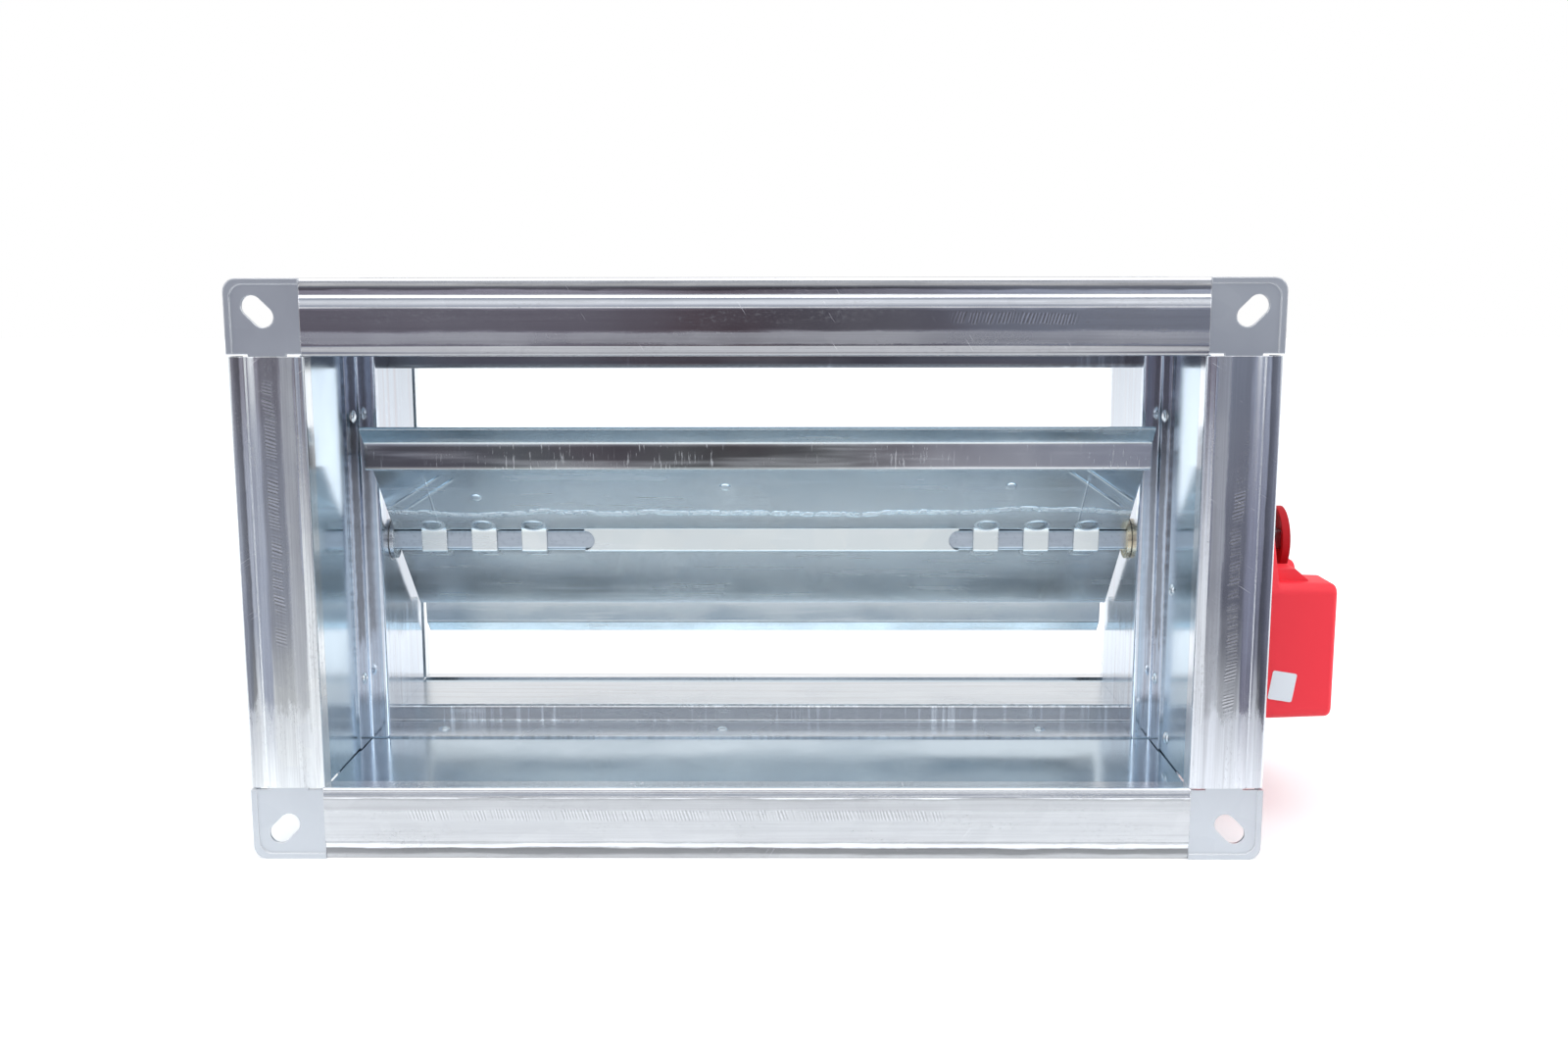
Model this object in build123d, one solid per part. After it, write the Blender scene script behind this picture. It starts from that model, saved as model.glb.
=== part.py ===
from build123d import *
import os
from math import asin, cos, radians, sin, sqrt, tan

# Motorized fire damper for a rectangular duct.
# X runs across the duct, Y along the air from the front flange, Z up. The origin is the centre of the
# duct opening, in the plane of the front flange bars. Millimetres.

# Duct opening and casing
duct_width = 400.0
duct_height = 200.0
casing_depth = 210.0
casing_sheet = 1.2
seam_lip = 14.0
seam_gap = 0.5
seam_bend = 0.4
seam_notch = 27.0
panel_edge_setback = 1.6

# Slip-on flange bars
bar_sheet = 1.0
flange_face = 33.3
bar_inner_leaf = 10.0
bar_outer_leaf = 24.0
bar_step_inset = 7.7
bar_step = 0.8
bar_return = 9.5
bar_hook = 4.0
bar_lap = 4.0
bar_lip_radius = 1.6
bar_crease = 0.4
bar_step_radius = 1.3
bar_lap_bend = 0.3
pocket_gap = 0.1

# Stamped flange corners
corner_sheet = 1.5
corner_recess = 1.0
corner_radius = 6.0
corner_rim_width = 2.6
corner_rim_rise = 0.8
corner_rim_depth = 8.0
corner_leg_length = 25.0
corner_leg_width = 17.0
corner_leg_start = 7.0
slot_width = 9.5
slot_length = 16.0
slot_inset = 14.5

# Inner frame that the blade closes in
frame_sheet = 1.0
frame_step_reach = 22.5
frame_leg_share = 0.646
frame_end_gap = 2.5
frame_top_leg = 28.0
frame_side_step = 10.0
frame_top_step = 12.7
frame_bottom_step = 9.5
frame_bend = 1.0

# Blade
shaft_forward = 0.5
rest_tilt = 45.0
blade_sheet = 1.5
blade_end_gap = 2.5
blade_edge_gap = 1.0
blade_upper_lip = 10.5
blade_lower_lip = 9.2
blade_rib_width = 9.6
blade_rib_height = 8.4
blade_bend = 0.6
lower_edge_relief = 1.5
strap_width = 12.83
strap_count = 3
strap_flat = 3.0
strap_foot_radius = 6.5
ridge_ease = 0.95
strap_end_channel = 14.0
inner_channel_left = 19.4
inner_channel_right = 7.4
slot_end_radius = 5.0

# Stub shafts, bushings and bearings
stub_side = 10.0
stub_corner = 1.5
stub_clearance = 0.1
stub_under_ridge = 9.0
bush_clearance = 0.05
bush_radius = 8.5
bush_flange_radius = 10.2
bush_flange = 2.0
bush_groove = 0.5
bush_groove_width = 1.0
bush_rim_width = 1.3
bush_end_gap = 0.3
bearing_radius = 11.0
bearing_flange_radius = 16.0
bearing_flange = 2.0
bearing_hole_clearance = 0.05
running_clearance = 0.06

# Rivets
rivet_radius = 1.6
rivet_head_radius = 3.2
rivet_head = 1.6
rivet_tail_radius = 2.6
rivet_tail = 1.4
rivet_clearance = 0.05
punch_reach = 12.0
side_rivet_share = 0.571
side_rivet_inset = 34.0
floor_rivet_forward = 10.0
floor_rivet_left_inset = 35.0
floor_rivet_middle = -20.0
floor_rivet_right_inset = 55.0
bracket_rivet_low_inset = 8.0
bracket_rivet_high_inset = 48.0

# Actuator bracket
bracket_sheet = 2.0
bracket_height = 13.8
bracket_foot_share = 0.506
bracket_bar_gap = 14.5
bracket_bottom_gap = 2.0
bracket_top = 32.0
bracket_bend = 1.5
bracket_shaft_hole = 15.0

# Actuator housing
actuator_width = 98.0
actuator_bottom = -83.0
motor_end_top = -14.0
hub_end_radius = 36.0
base_depth = 25.0
hub_end_depth = 39.0
motor_end_depth = 68.0
housing_wall = 2.5
housing_corner = 6.0
housing_edge = 3.0
motor_wall = 3.5
motor_end_draft = 2.0
saddle_radius = 27.0
shoulder_setback = 9.0
shoulder_rise = 5.5
shoulder_reach = 16.5
shoulder_slope = 6.5
hub_hole_gap = 0.3

# Actuator hub, clamp and indicator
hub_radius = 12.0
hub_end_play = 0.5
clamp_stand = 1.2
clamp_rod_radius = 2.0
clamp_rod_reach = 8.8
clamp_bridge_width = 28.0
clamp_bridge_height = 6.5
clamp_bridge_depth = 5.4
clamp_bridge_edge = 1.5
clamp_nut_across = 7.0
clamp_nut_height = 3.2
clamp_thread_end = 2.5
ring_radius = 17.0
ring_wall = 2.5
ring_depth = 3.9
ring_plate = 1.4
ring_stand = 3.8
stub_beyond_ring = 2.5

# Screws, glands and the label plate
screw_radius = 2.0
screw_head_radius = 3.8
screw_head = 2.2
screw_head_edge = 0.7
screw_cross = 3.4
screw_cross_width = 0.8
screw_cross_depth = 0.8
screw_hole_clearance = 0.1
bracket_screw_inset = 21.5
bracket_screw_z = -60.0
bracket_screw_length = 12.0
cover_post_radius = 4.5
cover_post_inset = 9.0
cover_screw_length = 30.0
gland_radius = 5.5
gland_neck_radius = 4.4
gland_bore = 3.2
gland_length = 8.0
gland_edge = 1.0
gland_inside = 1.0
gland_spread = 26.0

# Derived places
half_width = duct_width / 2
half_height = duct_height / 2
shaft_y = casing_depth / 2 - shaft_forward
side_outside = half_width + casing_sheet
bracket_foot_end = shaft_y - bar_outer_leaf - bracket_bar_gap
bracket_foot = bracket_foot_share * (bracket_foot_end - frame_step_reach)
bracket_web = 2 * (bracket_foot_end - bracket_foot)
bracket_rivet_reach = bracket_foot_end - bracket_foot / 2
bracket_bottom = bracket_bottom_gap - half_height
frame_step_y = shaft_y - frame_step_reach
frame_side_leg = frame_leg_share * (bracket_rivet_reach - frame_step_reach)
frame_side_start = frame_step_y - frame_side_leg
frame_end = shaft_y + bracket_rivet_reach - frame_end_gap
side_rivet_y = frame_side_start + side_rivet_share * frame_side_leg
sleeve_x = half_width - frame_side_step
blade_end = sleeve_x - blade_end_gap
blade_half = half_height - frame_bottom_step - blade_edge_gap
strap_start = blade_end - strap_end_channel - (2 * strap_count - 1) * strap_width
ridge_end_left = strap_start - inner_channel_left
ridge_end_right = strap_start - inner_channel_right
stub_gap_diagonal = (stub_side / 2 + stub_clearance) * sqrt(2)
ridge_foot = stub_gap_diagonal + blade_sheet / 2 + ridge_ease
base_x = side_outside + bracket_height
split_x = base_x + base_depth
hub_end_x = base_x + hub_end_depth
motor_end_x = base_x + motor_end_depth
clamp_x = hub_end_x + clamp_stand
ring_x = clamp_x + clamp_bridge_depth + ring_stand
stub_end_x = ring_x + ring_depth + stub_beyond_ring
bearing_end_x = side_outside + bearing_flange

nodes = {}

UP = Vector(0, 0, 1)
RIGHT = Vector(1, 0, 0)
BACK = Vector(0, 1, 0)


def folded(points, thickness, radii, side=Side.RIGHT):
    """Section of a sheet folded along a path, with the sheet to one side of it."""
    path = FilletPolyline(*points, radius=radii)
    return make_face(offset(path, thickness, side=side, closed=True))


def run_along(section, outward, distance, length):
    """Extrudes a section of the duct's wall: its first axis points out of the duct, its second is Y."""
    along = outward.cross(BACK)
    start = outward * distance - along * (length / 2)
    return extrude(Plane(origin=start, x_dir=outward, z_dir=along) * section, amount=length)


def along_x(face, start, end):
    """Extrudes a face drawn in Y and Z from one X to another."""
    return extrude(Plane.YZ.offset(start) * face, amount=end - start)


def rod_x(radius, start, end, y=shaft_y, z=0.0):
    """Round bar parallel to X."""
    return along_x(Pos(y, z) * Circle(radius), start, end)


def to_rear(shape):
    """Mirrors a piece of the front flange to the rear one."""
    return mirror(shape, about=Plane.XZ.offset(-casing_depth / 2))


def drill(shape, places, radius, reach=punch_reach):
    """Cuts a round hole at each place, given as a point and a direction."""
    for point, direction in places:
        hole = Plane(origin=point, z_dir=direction) * Cylinder(radius, reach)
        shape = shape - hole
    return shape


def rivet(point, direction, grip):
    """Dome-headed rivet: the head lies at the point, the shank runs along the direction."""
    dome = (rivet_head_radius**2 + rivet_head**2) / (2 * rivet_head)
    half_angle = asin(rivet_head_radius / dome) / 2
    head_arc = ThreePointArc(
        (rivet_head_radius, 0),
        (dome * sin(half_angle), dome - rivet_head - dome * cos(half_angle)),
        (0, -rivet_head),
    )
    sides = Polyline(
        (0, -rivet_head),
        (0, grip + rivet_tail),
        (rivet_tail_radius * 0.6, grip + rivet_tail),
        (rivet_tail_radius, grip),
        (rivet_radius, grip),
        (rivet_radius, 0),
        (rivet_head_radius, 0),
    )
    solid = revolve(Plane.XZ * make_face([head_arc, sides]), axis=Axis.Z)
    return Plane(origin=point, z_dir=direction) * solid


def group(shapes):
    """Keeps equal pieces as separate solids of one node."""
    return Compound(children=[Part(shape.wrapped) for shape in shapes])


# Places of the fasteners
side_rivets = {}
for name, outward in (("left", RIGHT * -1), ("right", RIGHT)):
    side_rivets[name] = [
        (outward * (half_width - frame_sheet) + BACK * side_rivet_y + UP * z, outward)
        for z in (side_rivet_inset - half_height, half_height - side_rivet_inset)
    ]
top_rivets = {}
top_rivet_x = [
    floor_rivet_left_inset - half_width,
    floor_rivet_middle,
    half_width - floor_rivet_right_inset,
]
for name, outward in (("top", UP), ("bottom", UP * -1)):
    top_rivets[name] = [
        (outward * (half_height - frame_sheet) + BACK * (shaft_y - floor_rivet_forward) + RIGHT * x, outward)
        for x in top_rivet_x
    ]
bracket_rivets = [
    (RIGHT * half_width + BACK * y + UP * z, RIGHT)
    for y in (shaft_y - bracket_rivet_reach, shaft_y + bracket_rivet_reach)
    for z in (bracket_bottom + bracket_rivet_low_inset, bracket_top - bracket_rivet_high_inset)
]

# Casing panels: the side panels lap over the edges of the flat top and bottom ones
bearing_hole = bearing_radius + bearing_hole_clearance
panel_length = casing_depth - 2 * panel_edge_setback
lap_z = half_height + casing_sheet
side_path = [
    (half_width - seam_lip, lap_z),
    (half_width, lap_z),
    (half_width, -lap_z),
    (half_width - seam_lip, -lap_z),
]
side_panel_section = folded(side_path, casing_sheet, [seam_bend, seam_bend], Side.LEFT)
panel_start = Plane(origin=(0, panel_edge_setback, 0), x_dir=(1, 0, 0), z_dir=(0, -1, 0))
side_panel = extrude(panel_start * side_panel_section, amount=-panel_length)
notch_height = 2 * (lap_z + casing_sheet - half_height + seam_gap)
notch = Box(3 * seam_lip, 2 * seam_notch, notch_height)
for y in (0, casing_depth):
    for z in (-lap_z - casing_sheet, lap_z + casing_sheet):
        side_panel = side_panel - Pos(half_width, y, z) * notch
for name, outward in (("left", RIGHT * -1), ("right", RIGHT)):
    panel = side_panel if name == "right" else mirror(side_panel, about=Plane.YZ)
    places = list(side_rivets[name])
    if name == "right":
        places += bracket_rivets
    panel = drill(panel, places, rivet_radius + rivet_clearance)
    panel = drill(panel, [(outward * side_outside + BACK * shaft_y, outward)], bearing_hole)
    nodes["casing_" + name] = panel

flat_section = Pos(casing_sheet / 2, casing_depth / 2) * Rectangle(casing_sheet, panel_length)
for name, outward in (("top", UP), ("bottom", UP * -1)):
    panel = run_along(flat_section, outward, half_height, duct_width - 2 * seam_gap)
    nodes["casing_" + name] = drill(panel, top_rivets[name], rivet_radius + rivet_clearance)

# Flange bars
bar_path = [
    (-bar_sheet, bar_inner_leaf),
    (-bar_sheet, 0),
    (flange_face - bar_step_inset - bar_step, 0),
    (flange_face - bar_step_inset, bar_step),
    (flange_face, bar_step),
    (flange_face, bar_step + bar_return),
    (flange_face - bar_hook, bar_step + bar_return),
]
bar_radii = [bar_lip_radius, bar_crease, bar_step_radius, bar_lip_radius, bar_lip_radius]
outer_leaf_path = [
    (casing_sheet + pocket_gap, bar_outer_leaf),
    (casing_sheet + pocket_gap, bar_sheet),
    (casing_sheet + pocket_gap + bar_sheet + bar_lap, bar_sheet),
]
bar_section = folded(bar_path, bar_sheet, bar_radii, Side.LEFT)
bar_section += folded(outer_leaf_path, bar_sheet, [bar_lap_bend], Side.LEFT)
bar_runs = {
    "top": (UP, half_height, duct_width),
    "bottom": (UP * -1, half_height, duct_width),
    "left": (RIGHT * -1, half_width, duct_height - 2 * bar_sheet),
    "right": (RIGHT, half_width, duct_height - 2 * bar_sheet),
}
for name, (outward, distance, length) in bar_runs.items():
    bar = run_along(bar_section, outward, distance, length)
    nodes["front_bar_" + name] = bar
    nodes["rear_bar_" + name] = to_rear(bar)


def corner_face():
    """Visible face of a stamped corner, drawn from the corner of the duct opening outwards."""
    square = Pos(flange_face / 2, flange_face / 2) * Rectangle(flange_face, flange_face)
    outer_point = square.vertices().sort_by(lambda v: v.X + v.Y)[-1]
    return fillet(outer_point, corner_radius)


def corner_piece():
    """Stamped corner in its own axes: X and Y outwards from the duct corner, Z into the flange."""
    face = corner_face()
    plate = extrude(face, amount=corner_sheet)
    inner = Pos(-corner_rim_width, -corner_rim_width) * face
    rim = extrude(face - inner, amount=-corner_rim_rise)
    skirt_inner = Pos(-corner_sheet, -corner_sheet) * face
    skirt = extrude(face - skirt_inner, amount=corner_rim_depth)
    leg_size = Rectangle(corner_leg_length, corner_leg_width)
    leg_middle = corner_leg_start + corner_leg_width / 2
    leg_x = extrude(Pos(-corner_leg_length / 2, leg_middle) * leg_size, amount=corner_sheet)
    leg_y = extrude(Pos(leg_middle, -corner_leg_length / 2) * Rot(0, 0, 90) * leg_size, amount=corner_sheet)
    slot_middle = flange_face - slot_inset
    slot = Pos(slot_middle, slot_middle) * Rot(0, 0, 45) * SlotOverall(slot_length, slot_width)
    body = plate + rim + skirt + leg_x + leg_y
    return body - extrude(slot, amount=4 * corner_sheet, both=True)


corner_solid = corner_piece()
front_corner = Plane(
    origin=(half_width, corner_recess, half_height), x_dir=(0, 0, 1), z_dir=(0, 1, 0)
) * corner_solid
for side_name, flip_x in (("left", True), ("right", False)):
    for level_name, flip_z in (("top", False), ("bottom", True)):
        piece = front_corner
        if flip_x:
            piece = mirror(piece, about=Plane.YZ)
        if flip_z:
            piece = mirror(piece, about=Plane.XY)
        name = level_name + "_" + side_name
        nodes["front_corner_" + name] = piece
        nodes["rear_corner_" + name] = to_rear(piece)

# Inner frame
frame_radii = [frame_bend, frame_bend + frame_sheet]
side_frame_path = [
    (-frame_sheet, frame_side_start),
    (-frame_sheet, frame_step_y),
    (-frame_side_step, frame_step_y),
    (-frame_side_step, frame_end),
]
side_section = folded(side_frame_path, frame_sheet, frame_radii, Side.RIGHT)
for name, outward in (("left", RIGHT * -1), ("right", RIGHT)):
    piece = run_along(side_section, outward, half_width, duct_height - 2 * seam_gap)
    piece = drill(piece, side_rivets[name], rivet_radius + rivet_clearance)
    piece = drill(piece, [(outward * sleeve_x + BACK * shaft_y, outward)], bearing_hole)
    nodes["frame_" + name] = piece
for name, outward, step in (("top", UP, frame_top_step), ("bottom", UP * -1, frame_bottom_step)):
    level_path = [
        (-frame_sheet, frame_step_y),
        (-frame_sheet, frame_step_y + frame_top_leg),
        (-step, frame_step_y + frame_top_leg),
        (-step, frame_end),
    ]
    level_section = folded(level_path, frame_sheet, frame_radii, Side.RIGHT)
    piece = run_along(level_section, outward, half_height, 2 * sleeve_x)
    nodes["frame_" + name] = drill(piece, top_rivets[name], rivet_radius + rivet_clearance)

rivet_grip = frame_sheet + casing_sheet
nodes["frame_side_rivets"] = group(
    [rivet(point, way, rivet_grip) for name in side_rivets for point, way in side_rivets[name]]
)
nodes["frame_top_rivets"] = group(
    [rivet(point, way, rivet_grip) for name in top_rivets for point, way in top_rivets[name]]
)

# Blade
tilt = radians(rest_tilt)
blade_up = (0, -sin(tilt), cos(tilt))
rear_face = -blade_sheet / 2


def blade_plane(x):
    """Plane across the blade: X along the sheet from the shaft to the upper edge, Y to its front side."""
    return Plane(origin=(x, shaft_y, 0), x_dir=blade_up, z_dir=(1, 0, 0))


rib_foot = blade_half - blade_upper_lip
foot_radius = blade_bend + blade_sheet


def half_section(lip):
    """Section of one half of the blade, from the foot of the ridge out to the edge."""
    path = [
        (ridge_foot + strap_flat, rear_face),
        (rib_foot - 2 * blade_rib_width, rear_face),
        (rib_foot - blade_rib_width, rear_face + blade_rib_height),
        (rib_foot, rear_face),
        (rib_foot + lip, rear_face),
    ]
    return folded(path, blade_sheet, [foot_radius, blade_bend, foot_radius], Side.LEFT)


ridge_path = [
    (-ridge_foot - strap_flat, rear_face),
    (-ridge_foot, rear_face),
    (0, stub_gap_diagonal),
    (ridge_foot, rear_face),
    (ridge_foot + strap_flat, rear_face),
]
ridge_section = folded(ridge_path, blade_sheet, [foot_radius, blade_bend, foot_radius], Side.LEFT)
strap_radii = [strap_foot_radius, blade_bend, strap_foot_radius]
strap_section = folded(ridge_path, blade_sheet, strap_radii, Side.LEFT)
channel_section = mirror(ridge_section, about=Plane.XZ)

blade = extrude(blade_plane(-blade_end) * half_section(blade_upper_lip), amount=2 * blade_end)
lower_section = Rot(0, 0, 180) * half_section(blade_lower_lip)
lower_half = extrude(blade_plane(-blade_end) * lower_section, amount=2 * blade_end)
relief_depth = blade_upper_lip + 2 * blade_rib_width
relief = Box(2 * lower_edge_relief, relief_depth, 4 * blade_rib_height)
for x in (-blade_end, blade_end):
    blade_face = Plane(origin=(x, shaft_y, 0), x_dir=(1, 0, 0), z_dir=(0, -cos(tilt), -sin(tilt)))
    lower_half = lower_half - blade_face * Pos(0, blade_half - relief_depth / 2, 0) * relief
blade = blade + lower_half


def middle_piece(section, start, end):
    """Stretch of the blade's middle: the ridge, a strap pressed to the front or a channel to the rear."""
    return extrude(blade_plane(start) * section, amount=end - start)


for way, ridge_end in ((-1, ridge_end_left), (1, ridge_end_right)):
    marks = [ridge_end] + [strap_start + strap_width * index for index in range(2 * strap_count)]
    marks.append(blade_end)
    for index in range(len(marks) - 1):
        start, end = sorted((way * marks[index], way * marks[index + 1]))
        section = strap_section if index % 2 else channel_section
        blade = blade + middle_piece(section, start, end)
blade = blade + middle_piece(ridge_section, -ridge_end_left, ridge_end_right)
ridge_wall = shaft_y - stub_side / 2 - stub_clearance
for x in (-ridge_end_left, ridge_end_right):
    slot_end = Plane(origin=(x, ridge_wall, 0), z_dir=(0, -1, 0)) * Cylinder(slot_end_radius, 3 * blade_sheet)
    blade = blade - slot_end
nodes["blade"] = blade

# Stub shafts
stub_face = RectangleRounded(stub_side, stub_side, stub_corner)
stub_place = Pos(shaft_y, 0) * stub_face
left_stub_end = stub_under_ridge - ridge_end_left
right_stub_start = ridge_end_right - stub_under_ridge
nodes["stub_shaft_left"] = along_x(stub_place, -bearing_end_x, left_stub_end)
nodes["stub_shaft_right"] = along_x(stub_place, right_stub_start, stub_end_x)

# Bushings that turn with the shafts, and the bearings that carry them
square_hole = Pos(shaft_y, 0) * Rectangle(stub_side + 2 * bush_clearance, stub_side + 2 * bush_clearance)
flange_start = sleeve_x - bush_end_gap - bush_flange
bushing = rod_x(bush_radius, flange_start, bearing_end_x) + rod_x(
    bush_flange_radius, flange_start, flange_start + bush_flange
)
groove_radius = bush_flange_radius - bush_rim_width
groove = rod_x(groove_radius, flange_start, flange_start + bush_groove)
groove = groove - rod_x(groove_radius - bush_groove_width, flange_start, flange_start + bush_flange)
bushing = bushing - groove - along_x(square_hole, flange_start, bearing_end_x)
nodes["bushing_right"] = bushing
nodes["bushing_left"] = mirror(bushing, about=Plane.YZ)
bearing = rod_x(bearing_radius, sleeve_x, side_outside)
bearing = bearing + rod_x(bearing_flange_radius, side_outside, bearing_end_x)
bearing = bearing - rod_x(bush_radius + running_clearance, sleeve_x, bearing_end_x)
nodes["bearing_right"] = bearing
nodes["bearing_left"] = mirror(bearing, about=Plane.YZ)

# Actuator bracket, as a section in X and Y
bracket_path = [
    (side_outside + bracket_sheet, shaft_y - bracket_foot_end),
    (side_outside + bracket_sheet, shaft_y - bracket_web / 2),
    (base_x, shaft_y - bracket_web / 2),
    (base_x, shaft_y + bracket_web / 2),
    (side_outside + bracket_sheet, shaft_y + bracket_web / 2),
    (side_outside + bracket_sheet, shaft_y + bracket_foot_end),
]
outer_bend = bracket_bend + bracket_sheet
bracket_section = folded(
    bracket_path, bracket_sheet, [bracket_bend, outer_bend, outer_bend, bracket_bend], Side.LEFT
)
bracket = extrude(Plane.XY.offset(bracket_bottom) * bracket_section, amount=bracket_top - bracket_bottom)
bracket_screws = [
    (RIGHT * (base_x - bracket_sheet) + BACK * (shaft_y + y) + UP * bracket_screw_z, RIGHT)
    for y in (bracket_screw_inset - actuator_width / 2, actuator_width / 2 - bracket_screw_inset)
]
bracket = drill(bracket, bracket_rivets, rivet_radius + rivet_clearance)
bracket = drill(bracket, bracket_screws, screw_radius + screw_hole_clearance)
bracket = bracket - rod_x(bracket_shaft_hole, base_x - 2 * bracket_sheet, base_x)
nodes["actuator_bracket"] = bracket
bracket_grip = casing_sheet + bracket_sheet
nodes["bracket_rivets"] = group([rivet(point, way, bracket_grip) for point, way in bracket_rivets])


def housing_plan(inset):
    """Outline of the whole housing, seen along the shaft: a block rounded off round the hub."""
    height = motor_end_top - actuator_bottom - 2 * inset
    block = Pos(shaft_y, (motor_end_top + actuator_bottom) / 2) * RectangleRounded(
        actuator_width - 2 * inset, height, housing_corner - inset
    )
    hub_end = Pos(shaft_y, 0) * Circle(hub_end_radius - inset)
    return make_hull(block.edges() + hub_end.edges())


def motor_plan(inset):
    """Outline of the thick motor end alone."""
    height = motor_end_top - actuator_bottom - 2 * inset
    return Pos(shaft_y, (motor_end_top + actuator_bottom) / 2) * RectangleRounded(
        actuator_width - 2 * inset, height, housing_corner - inset
    )


hub_hole = hub_radius + hub_hole_gap
base = along_x(housing_plan(0), base_x, split_x)
base = base - along_x(housing_plan(housing_wall), base_x + housing_wall, split_x)
base = base - rod_x(hub_hole, base_x, base_x + housing_wall)
base = drill(base, bracket_screws, screw_radius + screw_hole_clearance)

cover = along_x(housing_plan(0), split_x, hub_end_x)
motor_end = extrude(
    Plane.YZ.offset(hub_end_x) * motor_plan(0), amount=motor_end_x - hub_end_x, taper=motor_end_draft
)
motor_end = fillet(motor_end.faces().sort_by(Axis.X)[-1].edges(), housing_edge)
shoulder_top = motor_end_top + shoulder_rise
shoulder_foot = motor_end_top - housing_wall
shoulder_profile = make_face(
    Polyline(
        (hub_end_x, shoulder_foot),
        (hub_end_x + shoulder_reach, shoulder_foot),
        (hub_end_x + shoulder_reach, motor_end_top),
        (hub_end_x + shoulder_reach - shoulder_slope, shoulder_top),
        (hub_end_x, shoulder_top),
        close=True,
    )
)
shoulder_start = shaft_y - actuator_width / 2 + shoulder_setback
shoulder_length = actuator_width - 2 * shoulder_setback
shoulder = extrude(
    Plane(origin=(0, shoulder_start, 0), x_dir=(1, 0, 0), z_dir=(0, -1, 0)) * shoulder_profile,
    amount=-shoulder_length,
)
cover = cover + motor_end + shoulder
cover = cover - rod_x(saddle_radius, hub_end_x, motor_end_x)
inner_hub_x = hub_end_x - housing_wall
cavity = along_x(housing_plan(housing_wall), split_x, inner_hub_x)
motor_cavity = along_x(motor_plan(motor_wall), split_x, motor_end_x - housing_wall)
motor_cavity = motor_cavity - rod_x(saddle_radius + housing_wall, inner_hub_x, motor_end_x)
cover = cover - cavity - motor_cavity - rod_x(hub_hole, split_x, hub_end_x)

post_start = base_x + housing_wall / 2
post_end = motor_end_x - housing_wall / 2
post_y = actuator_width / 2 - cover_post_inset
cover_screws = [
    (RIGHT * base_x + BACK * (shaft_y + y) + UP * z, RIGHT)
    for y in (-post_y, post_y)
    for z in (actuator_bottom + cover_post_inset, motor_end_top - cover_post_inset)
]
for point, direction in cover_screws:
    base = base + rod_x(cover_post_radius, post_start, split_x, point.Y, point.Z)
    cover = cover + rod_x(cover_post_radius, split_x, post_end, point.Y, point.Z)
screw_hole = screw_radius + screw_hole_clearance
base = drill(base, cover_screws, screw_hole, 3 * base_depth)
cover = drill(cover, cover_screws, screw_hole, 2 * (cover_screw_length + screw_radius))
countersink = screw_head_radius + screw_hole_clearance
base = drill(base, cover_screws, countersink, 2 * screw_head)
nodes["actuator_cover"] = cover


def screw(point, direction, length, sunk):
    """Cross-head screw: a sunk head ends level with the point, a plain one lies behind it."""
    head_start = 0.0 if sunk else -screw_head
    head = Pos(0, 0, head_start) * Cylinder(
        screw_head_radius, screw_head, align=(Align.CENTER, Align.CENTER, Align.MIN)
    )
    head = chamfer(head.edges().sort_by(Axis.Z)[0], screw_head_edge)
    recess = Box(screw_cross, screw_cross_width, 2 * screw_cross_depth)
    recess = recess + Rot(0, 0, 90) * recess
    shank = Cylinder(screw_radius, length, align=(Align.CENTER, Align.CENTER, Align.MIN))
    return Plane(origin=point, z_dir=direction) * (head + shank - Pos(0, 0, head_start) * recess)


nodes["bracket_screws"] = group([screw(p, d, bracket_screw_length, False) for p, d in bracket_screws])
nodes["cover_screws"] = group([screw(p, d, cover_screw_length, True) for p, d in cover_screws])

glands = []
gland_neck = housing_wall + gland_inside
for y in (-gland_spread / 2, gland_spread / 2):
    place = Pos(base_x + base_depth / 2, shaft_y + y, actuator_bottom)
    body = Pos(0, 0, -gland_length / 2) * Cylinder(gland_radius, gland_length)
    body = chamfer(body.edges().sort_by(Axis.Z)[0], gland_edge)
    neck = Pos(0, 0, gland_neck / 2) * Cylinder(gland_neck_radius, gland_neck)
    glands.append(place * (body + neck - Cylinder(gland_bore, 4 * gland_length)))
    base = base - place * Cylinder(gland_neck_radius + screw_hole_clearance, 4 * housing_wall)
nodes["cable_glands"] = group(glands)
nodes["actuator_base"] = base

# Hub, clamp and indicator, which turn with the shaft
hub = rod_x(hub_radius, base_x - hub_end_play, hub_end_x + hub_end_play)
nodes["actuator_hub"] = hub - along_x(square_hole, base_x - bracket_sheet, hub_end_x + clamp_stand)

clamp_middle_x = clamp_x + clamp_bridge_depth / 2
bridge_bottom = stub_side / 2 + bush_clearance
bridge_top = bridge_bottom + clamp_bridge_height
bridge = Pos(clamp_middle_x, shaft_y, (bridge_bottom + bridge_top) / 2) * Box(
    clamp_bridge_depth, clamp_bridge_width, clamp_bridge_height
)
bridge = fillet(bridge.edges().filter_by(Axis.X), clamp_bridge_edge)
rod_top = bridge_top + clamp_nut_height + clamp_thread_end
rod_turn = clamp_rod_reach * tan(radians(22.5))
rod_path = Polyline(
    (-clamp_rod_reach, rod_top),
    (-clamp_rod_reach, -rod_turn),
    (-rod_turn, -clamp_rod_reach),
    (rod_turn, -clamp_rod_reach),
    (clamp_rod_reach, -rod_turn),
    (clamp_rod_reach, rod_top),
)
clamp_plane = Plane(origin=(clamp_middle_x, shaft_y, 0), x_dir=(0, 1, 0), z_dir=(1, 0, 0))
rod_start = Plane(
    origin=clamp_plane.from_local_coords((-clamp_rod_reach, rod_top, 0)), z_dir=(0, 0, -1)
)
clamp_bolt = sweep(
    rod_start * Circle(clamp_rod_radius), path=clamp_plane * rod_path, transition=Transition.RIGHT
)
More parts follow.
